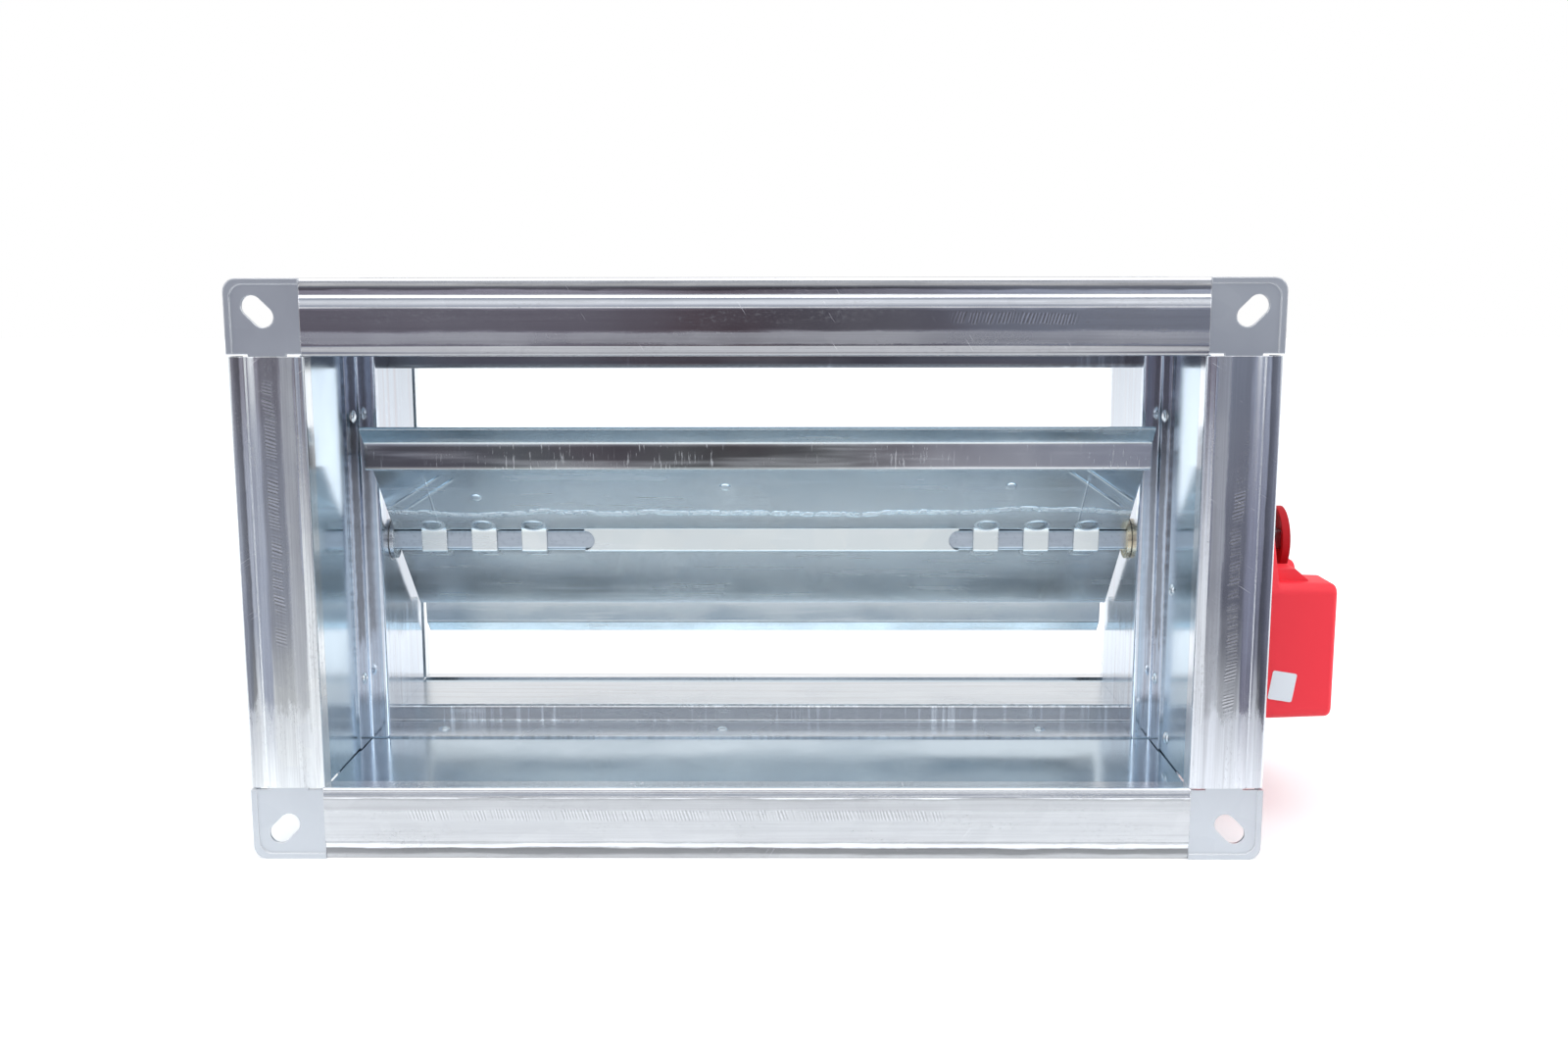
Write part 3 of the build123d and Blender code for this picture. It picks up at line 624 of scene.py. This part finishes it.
@dataclass(frozen=True)
class BladeFinish(ZincFinish):
    """Pressed blade sheet with its crease lines, weld marks and a rib with painted reflection and
    painted light.
    """

    shaft_depth: float = 0.1045
    rib_turn: float = 0.00095
    shade_tones: Stops = ((-0.09, 1.0), (0.09, 1.0))
    creases: tuple[tuple[float, float, float, float], ...] = (
        (-0.189, 0.025, -0.157, 0.053), (-0.184, 0.021, -0.150, 0.051),
        (0.188, 0.032, 0.158, 0.061), (0.183, 0.027, 0.152, 0.057))
    upright_lines: tuple[float, ...] = (-0.164, 0.162)
    welds: Stops = ((-0.141, 0.036), (-0.0165, 0.0446), (0.1246, 0.0453))
    first_strap: float = 0.1158
    strap_pitch: float = 0.02566
    strap_half: float = 0.0064

    def places(self, canvas: Canvas) -> tuple[Output, Output | None]:
        """The place along the shaft, up the sheet and through it, and the place up alone."""
        parts = canvas.parts(canvas.place())
        back = canvas.minus(parts[1], self.shaft_depth)
        half = math.sqrt(0.5)
        up = canvas.times(canvas.minus(parts[2], back), half)
        through = canvas.times(canvas.plus(parts[2], back), half)
        return canvas.join(parts[0], up, through), up

    def line(self, canvas: Canvas, place: Output, ends: tuple[float, float, float, float],
             width: float) -> Output:
        """Mask of a straight line on the sheet.

        Args:
            canvas: the material's canvas.
            place: the place on the sheet.
            ends: the line's two ends, each as the places along the shaft and up the sheet.
            width: half its width.

        Returns:
            The mask.
        """
        start = Vector((*ends[:2], 0.0))
        run = Vector((*ends[2:], 0.0)) - start
        shift = canvas.vector("SUBTRACT", canvas.stretch(place, (1.0, 1.0, 0.0)), start)
        along = canvas.vector("DOT_PRODUCT", shift, run.normalized())
        aside = canvas.vector("DOT_PRODUCT", shift, Vector((-run.y, run.x, 0.0)).normalized())
        inside = canvas.between(along, -0.001, 0.004, run.length - 0.006, run.length + 0.002)
        return canvas.times(canvas.span(canvas.size(aside), width, 0.0), inside)

    def spot(self, canvas: Canvas, place: Output, middle: tuple[float, float],
             reach: float) -> Output:
        """Mask of a round spot on the sheet, from its middle and its radius."""
        gap = canvas.vector("DISTANCE", canvas.stretch(place, (1.0, 1.0, 0.0)), (*middle, 0.0))
        return canvas.span(gap, reach, 0.35 * reach)

    def dome(self, canvas: Canvas, place: Output, level: float,
             reach: float) -> tuple[Output, Output]:
        """Masks of the lens-shaped swells that the straps' pressing leaves beside each of them.

        Args:
            canvas: the material's canvas.
            place: the place on the sheet.
            level: the swells' middle, up the sheet.
            reach: half their height.

        Returns:
            The swells' mask and the mask of their rims, which get a painted highlight.
        """
        parts = canvas.parts(place)
        aside = canvas.size(parts[0])
        turn = canvas.over(canvas.minus(aside, self.first_strap), self.strap_pitch)
        off = canvas.times(canvas.minus(turn, canvas.math("ROUND", turn)),
                           self.strap_pitch / self.strap_half)
        rise = canvas.over(canvas.minus(parts[1], level), reach)
        gap = canvas.plus(canvas.times(off, off), canvas.times(rise, rise))
        first, last = self.first_strap - 0.013, self.first_strap + 2.5 * self.strap_pitch
        near = canvas.between(aside, first, first + 0.001, last - 0.001, last)
        rim = canvas.between(gap, 0.5, 0.8, 0.9, 1.15)
        return canvas.times(canvas.span(gap, 1.0, 0.1), near), canvas.times(rim, near)

    def detail(self, coat: Coat, effects: Effects, place: Output, across: Output | None) -> None:
        """Adds the rib's painted reflection and painted light, swells beside the straps, press
        lines, creases and weld marks, with painted highlights.

        Args:
            coat: the finish so far, which this changes.
            effects: the shared effects.
            place: the place along the shaft, up the sheet and through it.
            across: the place up the sheet.
        """
        canvas = coat.canvas
        # Painted shade and painted reflection bands up the sheet.
        coat.band(across, self.shade_tones)
        rib = canvas.between(across, 0.0690, 0.0702, 0.0784, 0.0796)
        # Painted light: a lighter band low on the sheet.
        rolled = canvas.between(across, -0.0670, -0.0650, -0.0575, -0.0540)
        high, high_rim_highlight = self.dome(canvas, place, 0.0128, 0.0042)
        low, low_rim_highlight = self.dome(canvas, place, -0.0118, 0.0027)
        rims = canvas.plus(high_rim_highlight, low_rim_highlight)
        # Painted dark reflection on the rib, in brownish patches.
        rib_dark_reflection = canvas.span(canvas.noise(place, (16.0, 30.0, 1.0)), 0.4, 0.6)
        coat.tint(canvas.times(rib, rib_dark_reflection), 0.35, (0.20, 0.15, 0.18))
        # Painted light: the rib turns lighter towards the right.
        rib_painted_light = canvas.span(canvas.parts(place)[0], 0.02, 0.10)
        coat.tint(canvas.times(rib, rib_painted_light), 0.75, (0.82, 0.84, 0.88))
        ticks = canvas.span(canvas.noise(place, (900.0, 130.0, 1.0), 3.0, 0.6), 0.58, 0.7)
        sparse = canvas.span(canvas.noise(place, (20.0, 5.0, 1.0), 2.0), 0.4, 0.6)
        ticks = canvas.times(ticks, sparse, rib)
        wander = canvas.noise(place, (11.0, 0.0, 0.0))
        centre = canvas.plus(canvas.times(wander, 0.024), 0.0115)
        beads = canvas.span(canvas.noise(place, (300.0, 300.0, 1.0), 3.0, 0.7), 0.35, 0.62)
        # Painted highlight along the wavy press line, which also rises as a bump.
        press = canvas.times(
            canvas.span(canvas.size(canvas.minus(across, centre)), 0.0026, 0.0004), beads)
        soft = canvas.span(canvas.noise(place, (7.0, 130.0, 1.0), 3.0, 0.6), 0.5, 0.66)
        creases = [self.line(canvas, place, ends, 0.0011) for ends in self.creases]
        uprights = [canvas.times(self.line(canvas, place, (x, 0.012, x, 0.058), 0.0007), 0.5)
                    for x in self.upright_lines]
        marks = canvas.plus(*creases, *uprights)
        spots = canvas.plus(*[self.spot(canvas, place, weld, 0.0032) for weld in self.welds])
        # Painted highlights on the press line, the creases and upright lines and the swells' rims,
        # and the painted light band low on the sheet; the ticks, soft streaks and weld spots are
        # lighter marks in the zinc.
        for mask, amount in ((ticks, 0.6), (press, 0.8), (soft, 0.30), (marks, 0.30), (spots, 0.55),
                             (rims, 0.55), (rolled, 0.8)):
            coat.tint(mask, amount, (0.93, 0.96, 0.98))
        for mask, amount in ((ticks, 0.2), (press, 0.3), (spots, 0.15), (soft, 0.08), (rims, 0.2)):
            coat.roughen(mask, amount)
        coat.lift(canvas.span(across, 0.0696, 0.0790, 0.0, -self.rib_turn, "LINEAR"))
        for mask, rise in ((marks, 0.00025), (press, 0.0004), (spots, 0.0004), (high, 0.0005),
                           (low, 0.0003)):
            coat.lift(canvas.times(mask, rise))


@dataclass(frozen=True)
class MetalFinish:
    """Turned, drawn or plated metal of the small pieces."""

    name: str
    bright: Triple
    dull: Triple
    roughness: float
    edge_radius: float = 0.0004

    def build(self, effects: Effects) -> bpy.types.Material:
        """Makes the material.

        Args:
            effects: the shared effects.

        Returns:
            The material.
        """
        material, canvas, shader = new_material(self.name)
        place = canvas.place()
        drawn = canvas.noise(place, (60.0, 900.0, 900.0), 3.0, 0.6)
        spots = canvas.span(canvas.noise(place, 420.0, 4.0, 0.7), 0.52, 0.68)
        edge = canvas.use(effects.edge, Radius=self.edge_radius)
        share = canvas.plus(canvas.times(drawn, 0.6), canvas.times(spots, 0.35))
        # Painted highlight: the edges get a lighter copy of the metal's colour.
        colour = canvas.mix(canvas.times(edge["EdgeHighlight"], 0.5),
                            canvas.mix(share, self.bright, self.dull),
                            tuple(min(1.0, 1.25 * part) for part in self.bright))
        canvas.fill(shader, {
            "Base Color": colour, "Metallic": 1.0,
            "Roughness": canvas.plus(canvas.times(share, 0.25), self.roughness),
            "Normal": canvas.relief(canvas.times(drawn, 0.00002), edge["Normal"], 0.6)})
        return material


@dataclass(frozen=True)
class PlasticFinish:
    """Moulded plastic with a fine matt grain."""

    name: str
    colour: Triple
    shade: Triple
    roughness: float
    grain: float = 0.00002
    edge_radius: float = 0.0008
    specular: float = 0.5

    def build(self, effects: Effects) -> bpy.types.Material:
        """Makes the material.

        Args:
            effects: the shared effects.

        Returns:
            The material.
        """
        material, canvas, shader = new_material(self.name)
        grain = canvas.use(effects.grain, Vector=canvas.place())
        edge = canvas.use(effects.edge, Radius=self.edge_radius)
        # Painted highlight: the edges get a lighter copy of the plastic's colour.
        colour = canvas.mix(canvas.times(edge["EdgeHighlight"], 0.12),
                            canvas.mix(grain["Tone"], self.colour, self.shade),
                            tuple(min(1.0, part + 0.35) for part in self.colour))
        height = canvas.times(grain["Height"], self.grain)
        canvas.fill(shader, {
            "Base Color": colour, "Specular IOR Level": self.specular,
            "Roughness": canvas.span(grain["Tone"], 0.3, 0.7, self.roughness,
                                     self.roughness + 0.08),
            "Normal": canvas.relief(height, edge["Normal"], 0.5)})
        return material


def new_object(name: str, mesh: bmesh.types.BMesh,
               material: bpy.types.Material) -> bpy.types.Object:
    """Links an object made from a mesh, and frees the mesh.

    Args:
        name: the object's name.
        mesh: its mesh in metres, in the frame of the model.
        material: its finish.

    Returns:
        The object.
    """
    data = bpy.data.meshes.new(name)
    mesh.to_mesh(data)
    mesh.free()
    data.materials.append(material)
    built = bpy.data.objects.new(name, data)
    bpy.context.scene.collection.objects.link(built)
    return built


@dataclass
class Pieces:
    """Pieces of the damper that are dressed together."""

    effects: Effects

    def wear(self, names: list[str], finish: ZincFinish | MetalFinish | PlasticFinish) -> None:
        """Gives CAD nodes a finish.

        Args:
            names: the nodes.
            finish: the finish.
        """
        material = finish.build(self.effects)
        for name in names:
            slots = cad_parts[name].data.materials
            slots.clear()
            slots.append(material)
        log.info("%s: %s", material.name, ", ".join(names))


@dataclass
class Casing(Pieces):
    """Sheet casing of the duct: panels, inner frame and their rivets."""

    def dress(self) -> None:
        """Gives the panels, the frame and the rivets their finishes."""
        self.wear(["casing_left", "casing_right", "casing_top", "casing_bottom"], ZincFinish(
            "casing_sheet", (0.56, 0.67, 0.76), (0.45, 0.55, 0.64), 0.09, 0.09, 0.35, 0.0007, 8.0))
        # Painted shade and painted reflection: each frame leg has its own row of dark bands, and
        # the bottom leg is a lighter copy of the top leg's colour.
        self.wear(["frame_left", "frame_right"], LegFinish(
            "frame_side_sheet", (0.79, 0.86, 0.95), (0.60, 0.67, 0.78), 0.10, 0.08, 0.3, 0.0004,
            14.0, shade_tones=((0.0, 0.10), (0.0015, 0.12), (0.0032, 0.95), (0.009, 0.90),
                         (0.0125, 0.20), (0.0205, 0.24), (0.0235, 0.95), (0.0262, 0.90),
                         (0.0290, 0.18), (0.0375, 0.20), (0.0405, 1.0), (0.045, 0.85),
                         (0.049, 0.60), (0.12, 0.54)), pale_under=-0.045))
        self.wear(["frame_top"], LegFinish(
            "frame_top_sheet", (0.74, 0.78, 0.86), (0.54, 0.58, 0.66), 0.16, 0.10, 0.3, 0.0004,
            10.0, along=Length.X, front=0.082, marks=0.6,
            shade_tones=((0.0, 0.5), (0.002, 0.75), (0.010, 0.8), (0.024, 0.7), (0.0262, 0.36),
                   (0.0292, 0.36), (0.0312, 0.95), (0.08, 1.0))))
        self.wear(["frame_bottom"], LegFinish(
            "frame_bottom_sheet", (0.90, 0.95, 1.0), (0.76, 0.82, 0.90), 0.20, 0.10, 0.3, 0.0003,
            10.0, along=Length.X, front=0.082, marks=0.35,
            shade_tones=((-0.002, 0.4), (0.001, 1.0), (0.022, 0.95), (0.0245, 0.90), (0.0256, 1.0),
                   (0.0268, 1.0), (0.0275, 0.62), (0.0290, 0.62), (0.0302, 0.95), (0.033, 0.80),
                   (0.12, 0.76))))
        self.wear(["frame_side_rivets", "frame_top_rivets", "bracket_rivets"], MetalFinish(
            "rivet_steel", (0.86, 0.89, 0.92), (0.62, 0.66, 0.70), 0.14))
        self.wear(["bearing_left", "bearing_right"], MetalFinish(
            "bearing_steel", (0.66, 0.68, 0.70), (0.42, 0.44, 0.46), 0.28))


@dataclass
class Flanges(Pieces):
    """Slip-on flange bars and stamped corners at both ends of the duct."""

    # Painted shade and painted reflection across the bars: each side gets its own row of dark and
    # light tones, as the light falls on it.
    shade_tones_upright: Stops = (
        (0.0, 0.9), (0.0034, 1.0), (0.0044, 0.68), (0.0096, 0.78), (0.0110, 0.58), (0.0190, 0.60),
        (0.0206, 0.95), (0.0250, 1.0), (0.0256, 0.70), (0.0262, 1.0), (0.0276, 1.0),
        (0.0284, 0.32), (0.0302, 0.48), (0.0312, 0.75), (0.0335, 0.80))
    shade_tones_top: Stops = (
        (0.0, 0.55), (0.0034, 0.60), (0.0044, 0.66), (0.0096, 0.74), (0.0110, 0.50), (0.0190, 0.52),
        (0.0206, 1.0), (0.0250, 1.0), (0.0256, 0.85), (0.0262, 1.0), (0.0276, 1.0),
        (0.0284, 0.32), (0.0302, 0.45), (0.0312, 0.70), (0.0335, 0.76))
    shade_tones_bottom: Stops = (
        (0.0, 1.0), (0.0036, 1.0), (0.0042, 0.46), (0.0054, 0.66), (0.0190, 0.68), (0.0246, 0.74),
        (0.0256, 0.60), (0.0262, 1.0), (0.0276, 1.0), (0.0284, 0.22), (0.0306, 0.28),
        (0.0316, 0.56), (0.0335, 0.70))

    def dress(self) -> None:
        """Gives the bars and corners their finishes."""
        # The bars are copies of one zinc strip; the right bar's darker colour is painted shade.
        bars = {
            "top": StripFinish(
                "flange_bar_top", (0.95, 0.96, 1.0), (0.74, 0.75, 0.80), 0.10, 0.08, 0.35, 0.0005,
                11.0, shade_tones=self.shade_tones_top, lines=0.55, dashes=0.9, dash_run=(0.088, 0.140)),
            "bottom": StripFinish(
                "flange_bar_bottom", (0.95, 0.97, 1.0), (0.76, 0.78, 0.82), 0.14, 0.10, 0.35,
                0.0005, 11.0, shade_tones=self.shade_tones_bottom, lines=0.45, dashes=0.40,
                dash_middle=0.0120, dash_run=(-0.160, 0.085)),
            "left": StripFinish(
                "flange_bar_left", (0.97, 1.0, 1.0), (0.76, 0.80, 0.88), 0.13, 0.10, 0.35,
                0.0005, 13.0, along=Length.Z, shade_tones=self.shade_tones_upright, dash_run=(-0.030, 0.088),
                pale_under=-0.062),
            "right": StripFinish(
                "flange_bar_right", (0.91, 0.94, 0.99), (0.70, 0.73, 0.79), 0.13, 0.10, 0.35,
                0.0005, 13.0, along=Length.Z, shade_tones=self.shade_tones_upright, dash_run=(-0.062, 0.042),
                pale_under=-0.062)}
        for side, finish in bars.items():
            self.wear(["front_bar_" + side, "rear_bar_" + side], finish)
        corners = [f"{end}_corner_{level}_{side}" for end in ("front", "rear")
                   for level in ("top", "bottom") for side in ("left", "right")]
        self.wear(corners, ZincFinish(
            "flange_corner", (0.58, 0.61, 0.65), (0.49, 0.52, 0.57), 0.32, 0.10, 0.3, 0.0002,
            edge_radius=0.0009))


@dataclass
class Blade(Pieces):
    """Pressed blade with its straps, stub shafts and bushings."""

    def dress(self) -> None:
        """Gives the blade and its shafts their finishes."""
        # The blade's tones paint shade and reflection: a dark band on the rib, dark lines at the
        # bends and a dimmer ridge.
        self.wear(["blade"], BladeFinish(
            "blade_sheet", (0.95, 1.0, 1.0), (0.82, 0.91, 0.96), 0.13, 0.13, 0.5, 0.0006,
            7.0, 0.0006, shade_tones=(
                (-0.090, 0.95), (-0.0800, 0.95), (-0.0794, 0.45), (-0.0786, 1.0),
                (-0.0776, 0.92), (-0.068, 0.92), (-0.0665, 1.0), (-0.0125, 1.0), (-0.0108, 0.77),
                (0.0108, 0.77), (0.0122, 0.74), (0.0165, 0.80), (0.0220, 1.0), (0.0685, 1.0),
                (0.0705, 0.22), (0.0780, 0.22), (0.0792, 0.9), (0.0900, 0.66))))
        self.wear(["stub_shaft_left", "stub_shaft_right"], MetalFinish(
            "shaft_steel", (0.64, 0.71, 0.78), (0.42, 0.48, 0.55), 0.26))
        self.wear(["bushing_left"], MetalFinish(
            "collar_steel", (0.72, 0.75, 0.78), (0.46, 0.49, 0.53), 0.2))
        self.wear(["bushing_right"], MetalFinish(
            "bushing_brass", (0.98, 0.86, 0.64), (0.72, 0.60, 0.42), 0.2))


@dataclass
class Actuator(Pieces):
    """Red spring-return actuator with its bracket, clamp, indicator and blank plate."""

    plate_middle: Triple = (0.2574, 0.05545, -0.0655)
    plate_width: float = 0.012
    plate_height: float = 0.0145
    plate_thickness: float = 0.00012
    plate_tilt: float = 9.0
    plate_corner: float = 0.001

    def dress(self) -> None:
        """Gives the housing and its metal pieces their finishes and adds the plate."""
        self.wear(["actuator_base", "actuator_cover"], PlasticFinish(
            "red_housing", (0.95, 0.022, 0.044), (0.90, 0.019, 0.038), 0.45))
        # Painted shade: the ring's darker red stands for the shade on the ring.
        self.wear(["indicator_ring"], PlasticFinish(
            "red_ring", (0.46, 0.006, 0.014), (0.40, 0.005, 0.011), 0.5, specular=0.2))
        self.wear(["cable_glands"], PlasticFinish(
            "black_gland", (0.025, 0.025, 0.027), (0.018, 0.018, 0.02), 0.4))
        self.wear(["actuator_bracket"], ZincFinish(
            "bracket_sheet", (0.76, 0.80, 0.83), (0.56, 0.60, 0.64), 0.2, 0.10, 0.4, 0.0003, 14.0))
        self.wear(["actuator_hub", "clamp_bridge", "clamp_bolt", "clamp_nuts", "bracket_screws",
                   "cover_screws"], MetalFinish(
            "zinc_fastener", (0.76, 0.77, 0.78), (0.50, 0.52, 0.54), 0.24))
        self.build_plate()

    def build_plate(self) -> None:
        """Builds the small blank white plate on the front face."""
        mesh = bmesh.new()
        outline = []
        for turn, (side, level) in enumerate(((1, 1), (-1, 1), (-1, -1), (1, -1))):
            for step in range(4):
                angle = math.radians(90 * turn + 30 * step)
                outline.append((
                    side * (self.plate_width / 2 - self.plate_corner)
                    + self.plate_corner * math.cos(angle),
                    level * (self.plate_height / 2 - self.plate_corner)
                    + self.plate_corner * math.sin(angle)))
        tilt = Matrix.Rotation(math.radians(self.plate_tilt), 4, "Y")
        middle = Vector(self.plate_middle)
        front = [mesh.verts.new(middle + tilt @ Vector((x, -self.plate_thickness, z)))
                 for x, z in outline]
        back = [mesh.verts.new(middle + tilt @ Vector((x, 0.0, z))) for x, z in outline]
        mesh.faces.new(front)
        mesh.faces.new(list(reversed(back)))
        for index in range(len(outline)):
            after = (index + 1) % len(outline)
            mesh.faces.new((front[after], front[index], back[index], back[after]))
        bmesh.ops.recalc_face_normals(mesh, faces=mesh.faces)
        material = PlasticFinish(
            "blank_plate", (0.82, 0.86, 0.90), (0.76, 0.81, 0.86), 0.3, 0.000004,
            0.0001).build(self.effects)
        plate = new_object("blank_plate", mesh, material)
        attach(plate, "casing")
        log.info("blank_plate: %d faces", len(plate.data.polygons))


@dataclass
class FrontCard:
    """Dim room side that faces the flange: only reflections in the metal show it."""

    floor_level: float
    rise: float = 0.001
    half_width: float = 3.0
    columns: int = 13
    floor_depths: tuple[float, ...] = (-0.12, -1.1, -2.2)
    wall: Stops = ((-2.9, 0.05), (-3.0, 0.6), (-2.8, 1.3), (-2.2, 1.9))
    table: Triple = (0.93, 0.95, 0.98)
    left: tuple[Triple, Triple] = ((0.40, 0.43, 0.53), (0.24, 0.22, 0.27))
    right: tuple[Triple, Triple] = ((0.24, 0.25, 0.33), (0.34, 0.37, 0.46))
    middle: tuple[Triple, Triple] = ((0.075, 0.078, 0.11), (0.16, 0.095, 0.105))
    haze: Triple = (0.36, 0.39, 0.45)
    window: Triple = (1.0, 1.0, 1.0)
    ceiling: Triple = (0.9, 0.93, 0.96)

    def build_material(self) -> bpy.types.Material:
        """Makes the card's glow: a pale table in front of a dark room with a window.

        Returns:
            The material.
        """
        material = bpy.data.materials.new("front_card")
        material.use_nodes = True
        material.node_tree.nodes.clear()
        canvas = Canvas(material.node_tree)
        place = canvas.place()
        side, depth, level = canvas.parts(place)
        aside = canvas.math("MAXIMUM", canvas.span(side, 0.27, 0.36),
                            canvas.span(side, -0.30, -0.39))
        off_table = canvas.math("MAXIMUM", canvas.span(depth, -1.0, -1.5), aside)
        far = canvas.span(depth, -1.5, -2.3)
        blotch = canvas.span(canvas.noise(place, 2.2, 3.0, 0.6), 0.42, 0.62)
        room = canvas.mix(blotch, *self.middle)
        room = canvas.mix(canvas.span(side, -0.12, -0.45), room, canvas.mix(far, *self.left))
        room = canvas.mix(canvas.span(side, 0.15, 0.6), room, canvas.mix(far, *self.right))
        room = canvas.mix(canvas.span(level, 0.05, 0.45), room, self.haze)
        room = canvas.mix(canvas.between(level, 0.50, 0.60, 0.85, 0.95), room, self.window)
        room = canvas.mix(canvas.span(level, 1.3, 1.8), room, self.ceiling)
        glow = canvas.node("Emission", {"Color": canvas.mix(off_table, self.table, room),
                                        "Strength": 1.0})
        canvas.node("OutputMaterial", {0: glow.outputs[0]})
        return material

    def build(self) -> None:
        """Builds the card, which no camera sees and which gives no light or shadow."""
        mesh = bmesh.new()
        step = 2 * self.half_width / (self.columns - 1)
        flat = [(depth, self.floor_level + self.rise) for depth in self.floor_depths]
        rows = [[mesh.verts.new((step * i - self.half_width, depth, level))
                 for i in range(self.columns)] for depth, level in (*flat, *self.wall)]
        for lower, upper in zip(rows, rows[1:]):
            for i in range(self.columns - 1):
                mesh.faces.new((lower[i], lower[i + 1], upper[i + 1], upper[i]))
        card = new_object("front_card", mesh, self.build_material())
        card.visible_camera = False
        card.visible_diffuse = False
        card.visible_shadow = False
        card.visible_transmission = False


@dataclass
class Stage:
    """Pale floor, white surroundings, soft lamps and the camera."""

    floor_level: float = -0.1333
    floor_reach: float = 6.0
    floor_tone: float = 0.9
    world_tint: Triple = (0.88, 0.94, 1.0)
    world_strength: float = 0.75
    lamps: tuple[tuple[str, Triple, Triple, float, float], ...] = (
        ("soft_top", (0.0, -0.3, 1.7), (0.0, 0.1, 0.0), 2.4, 22.0),
        ("soft_left", (-1.7, -0.9, 0.8), (0.0, 0.1, 0.0), 1.2, 7.0),
        ("soft_right", (1.7, -0.9, 0.8), (0.1, 0.1, 0.0), 1.2, 7.0))
    camera_place: Triple = (0.0173, -0.6844, 0.1341)
    camera_pitch: float = 9.08
    camera_yaw: float = 0.35
    camera_roll: float = 0.07
    focal_length: float = 35.53

    def build_world(self) -> None:
        """Sets the world: white where a camera, a gloss or glass sees it, dim where it lights."""
        world = bpy.data.worlds.new("surroundings")
        bpy.context.scene.world = world
        world.use_nodes = True
        world.node_tree.nodes.clear()
        canvas = Canvas(world.node_tree)
        white = canvas.node("Background", {"Color": (1, 1, 1, 1), "Strength": 1.0})
        dim = canvas.node("Background", {"Color": (*self.world_tint, 1),
                                         "Strength": self.world_strength})
        both = canvas.node("MixShader", {0: canvas.seen(), 1: dim.outputs[0], 2: white.outputs[0]})
        canvas.node("OutputWorld", {0: both.outputs[0]})

    def build_floor(self) -> None:
        """Builds the pale floor, which keeps the object's shadow."""
        mesh = bmesh.new()
        reach = self.floor_reach
        mesh.faces.new([mesh.verts.new((x * reach, y * reach, self.floor_level))
                        for x, y in ((-1, -1), (1, -1), (1, 1), (-1, 1))])
        material, canvas, shader = new_material("pale_floor")
        tone = self.floor_tone
        canvas.fill(shader, {"Base Color": (tone, tone, tone, 1), "Roughness": 0.9,
                             "Specular IOR Level": 0.0})
        strength = canvas.span(canvas.vector("LENGTH", canvas.place()), 0.35, 1.6, 0.30, 0.62)
        glow = canvas.node("Emission", {"Strength": canvas.times(canvas.seen(), strength)})
        both = canvas.node("AddShader", {0: shader.outputs[0], 1: glow.outputs[0]})
        canvas.fill(material.node_tree.nodes["Material Output"], {0: both.outputs[0]})
        new_object("floor", mesh, material)

    def build_lamps(self) -> None:
        """Adds the soft lamps."""
        for name, place, aim, size, power in self.lamps:
            data = bpy.data.lights.new(name, "AREA")
            data.shape = "SQUARE"
            data.size = size
            data.energy = power
            lamp = bpy.data.objects.new(name, data)
            lamp.location = place
            lamp.rotation_euler = (Vector(aim) - Vector(place)).to_track_quat("-Z", "Y").to_euler()
            bpy.context.scene.collection.objects.link(lamp)

    def build_camera(self) -> None:
        """Places the camera as the photograph was taken."""
        data = bpy.data.cameras.new("camera")
        data.sensor_fit = "HORIZONTAL"
        data.sensor_width = 36.0
        data.lens = self.focal_length
        data.clip_start = 0.01
        camera = bpy.data.objects.new("camera", data)
        camera.location = self.camera_place
        camera.rotation_euler = Euler((math.radians(90 - self.camera_pitch),
                                       math.radians(self.camera_roll),
                                       math.radians(self.camera_yaw)))
        bpy.context.scene.collection.objects.link(camera)
        bpy.context.scene.camera = camera
        bpy.context.scene.view_settings.view_transform = "Standard"

    def build(self) -> None:
        """Builds the stage."""
        self.build_world()
        self.build_floor()
        FrontCard(self.floor_level).build()
        self.build_lamps()
        self.build_camera()
        log.info("stage, lamps and camera")


def main() -> None:
    """Builds the stage and dresses the model piece by piece."""
    logging.basicConfig(level=logging.INFO, format="%(name)s %(message)s")
    Stage().build()
    effects = Effects()
    for kind in (Casing, Flanges, Blade, Actuator):
        kind(effects).dress()


if __name__ == "__main__":
    main()
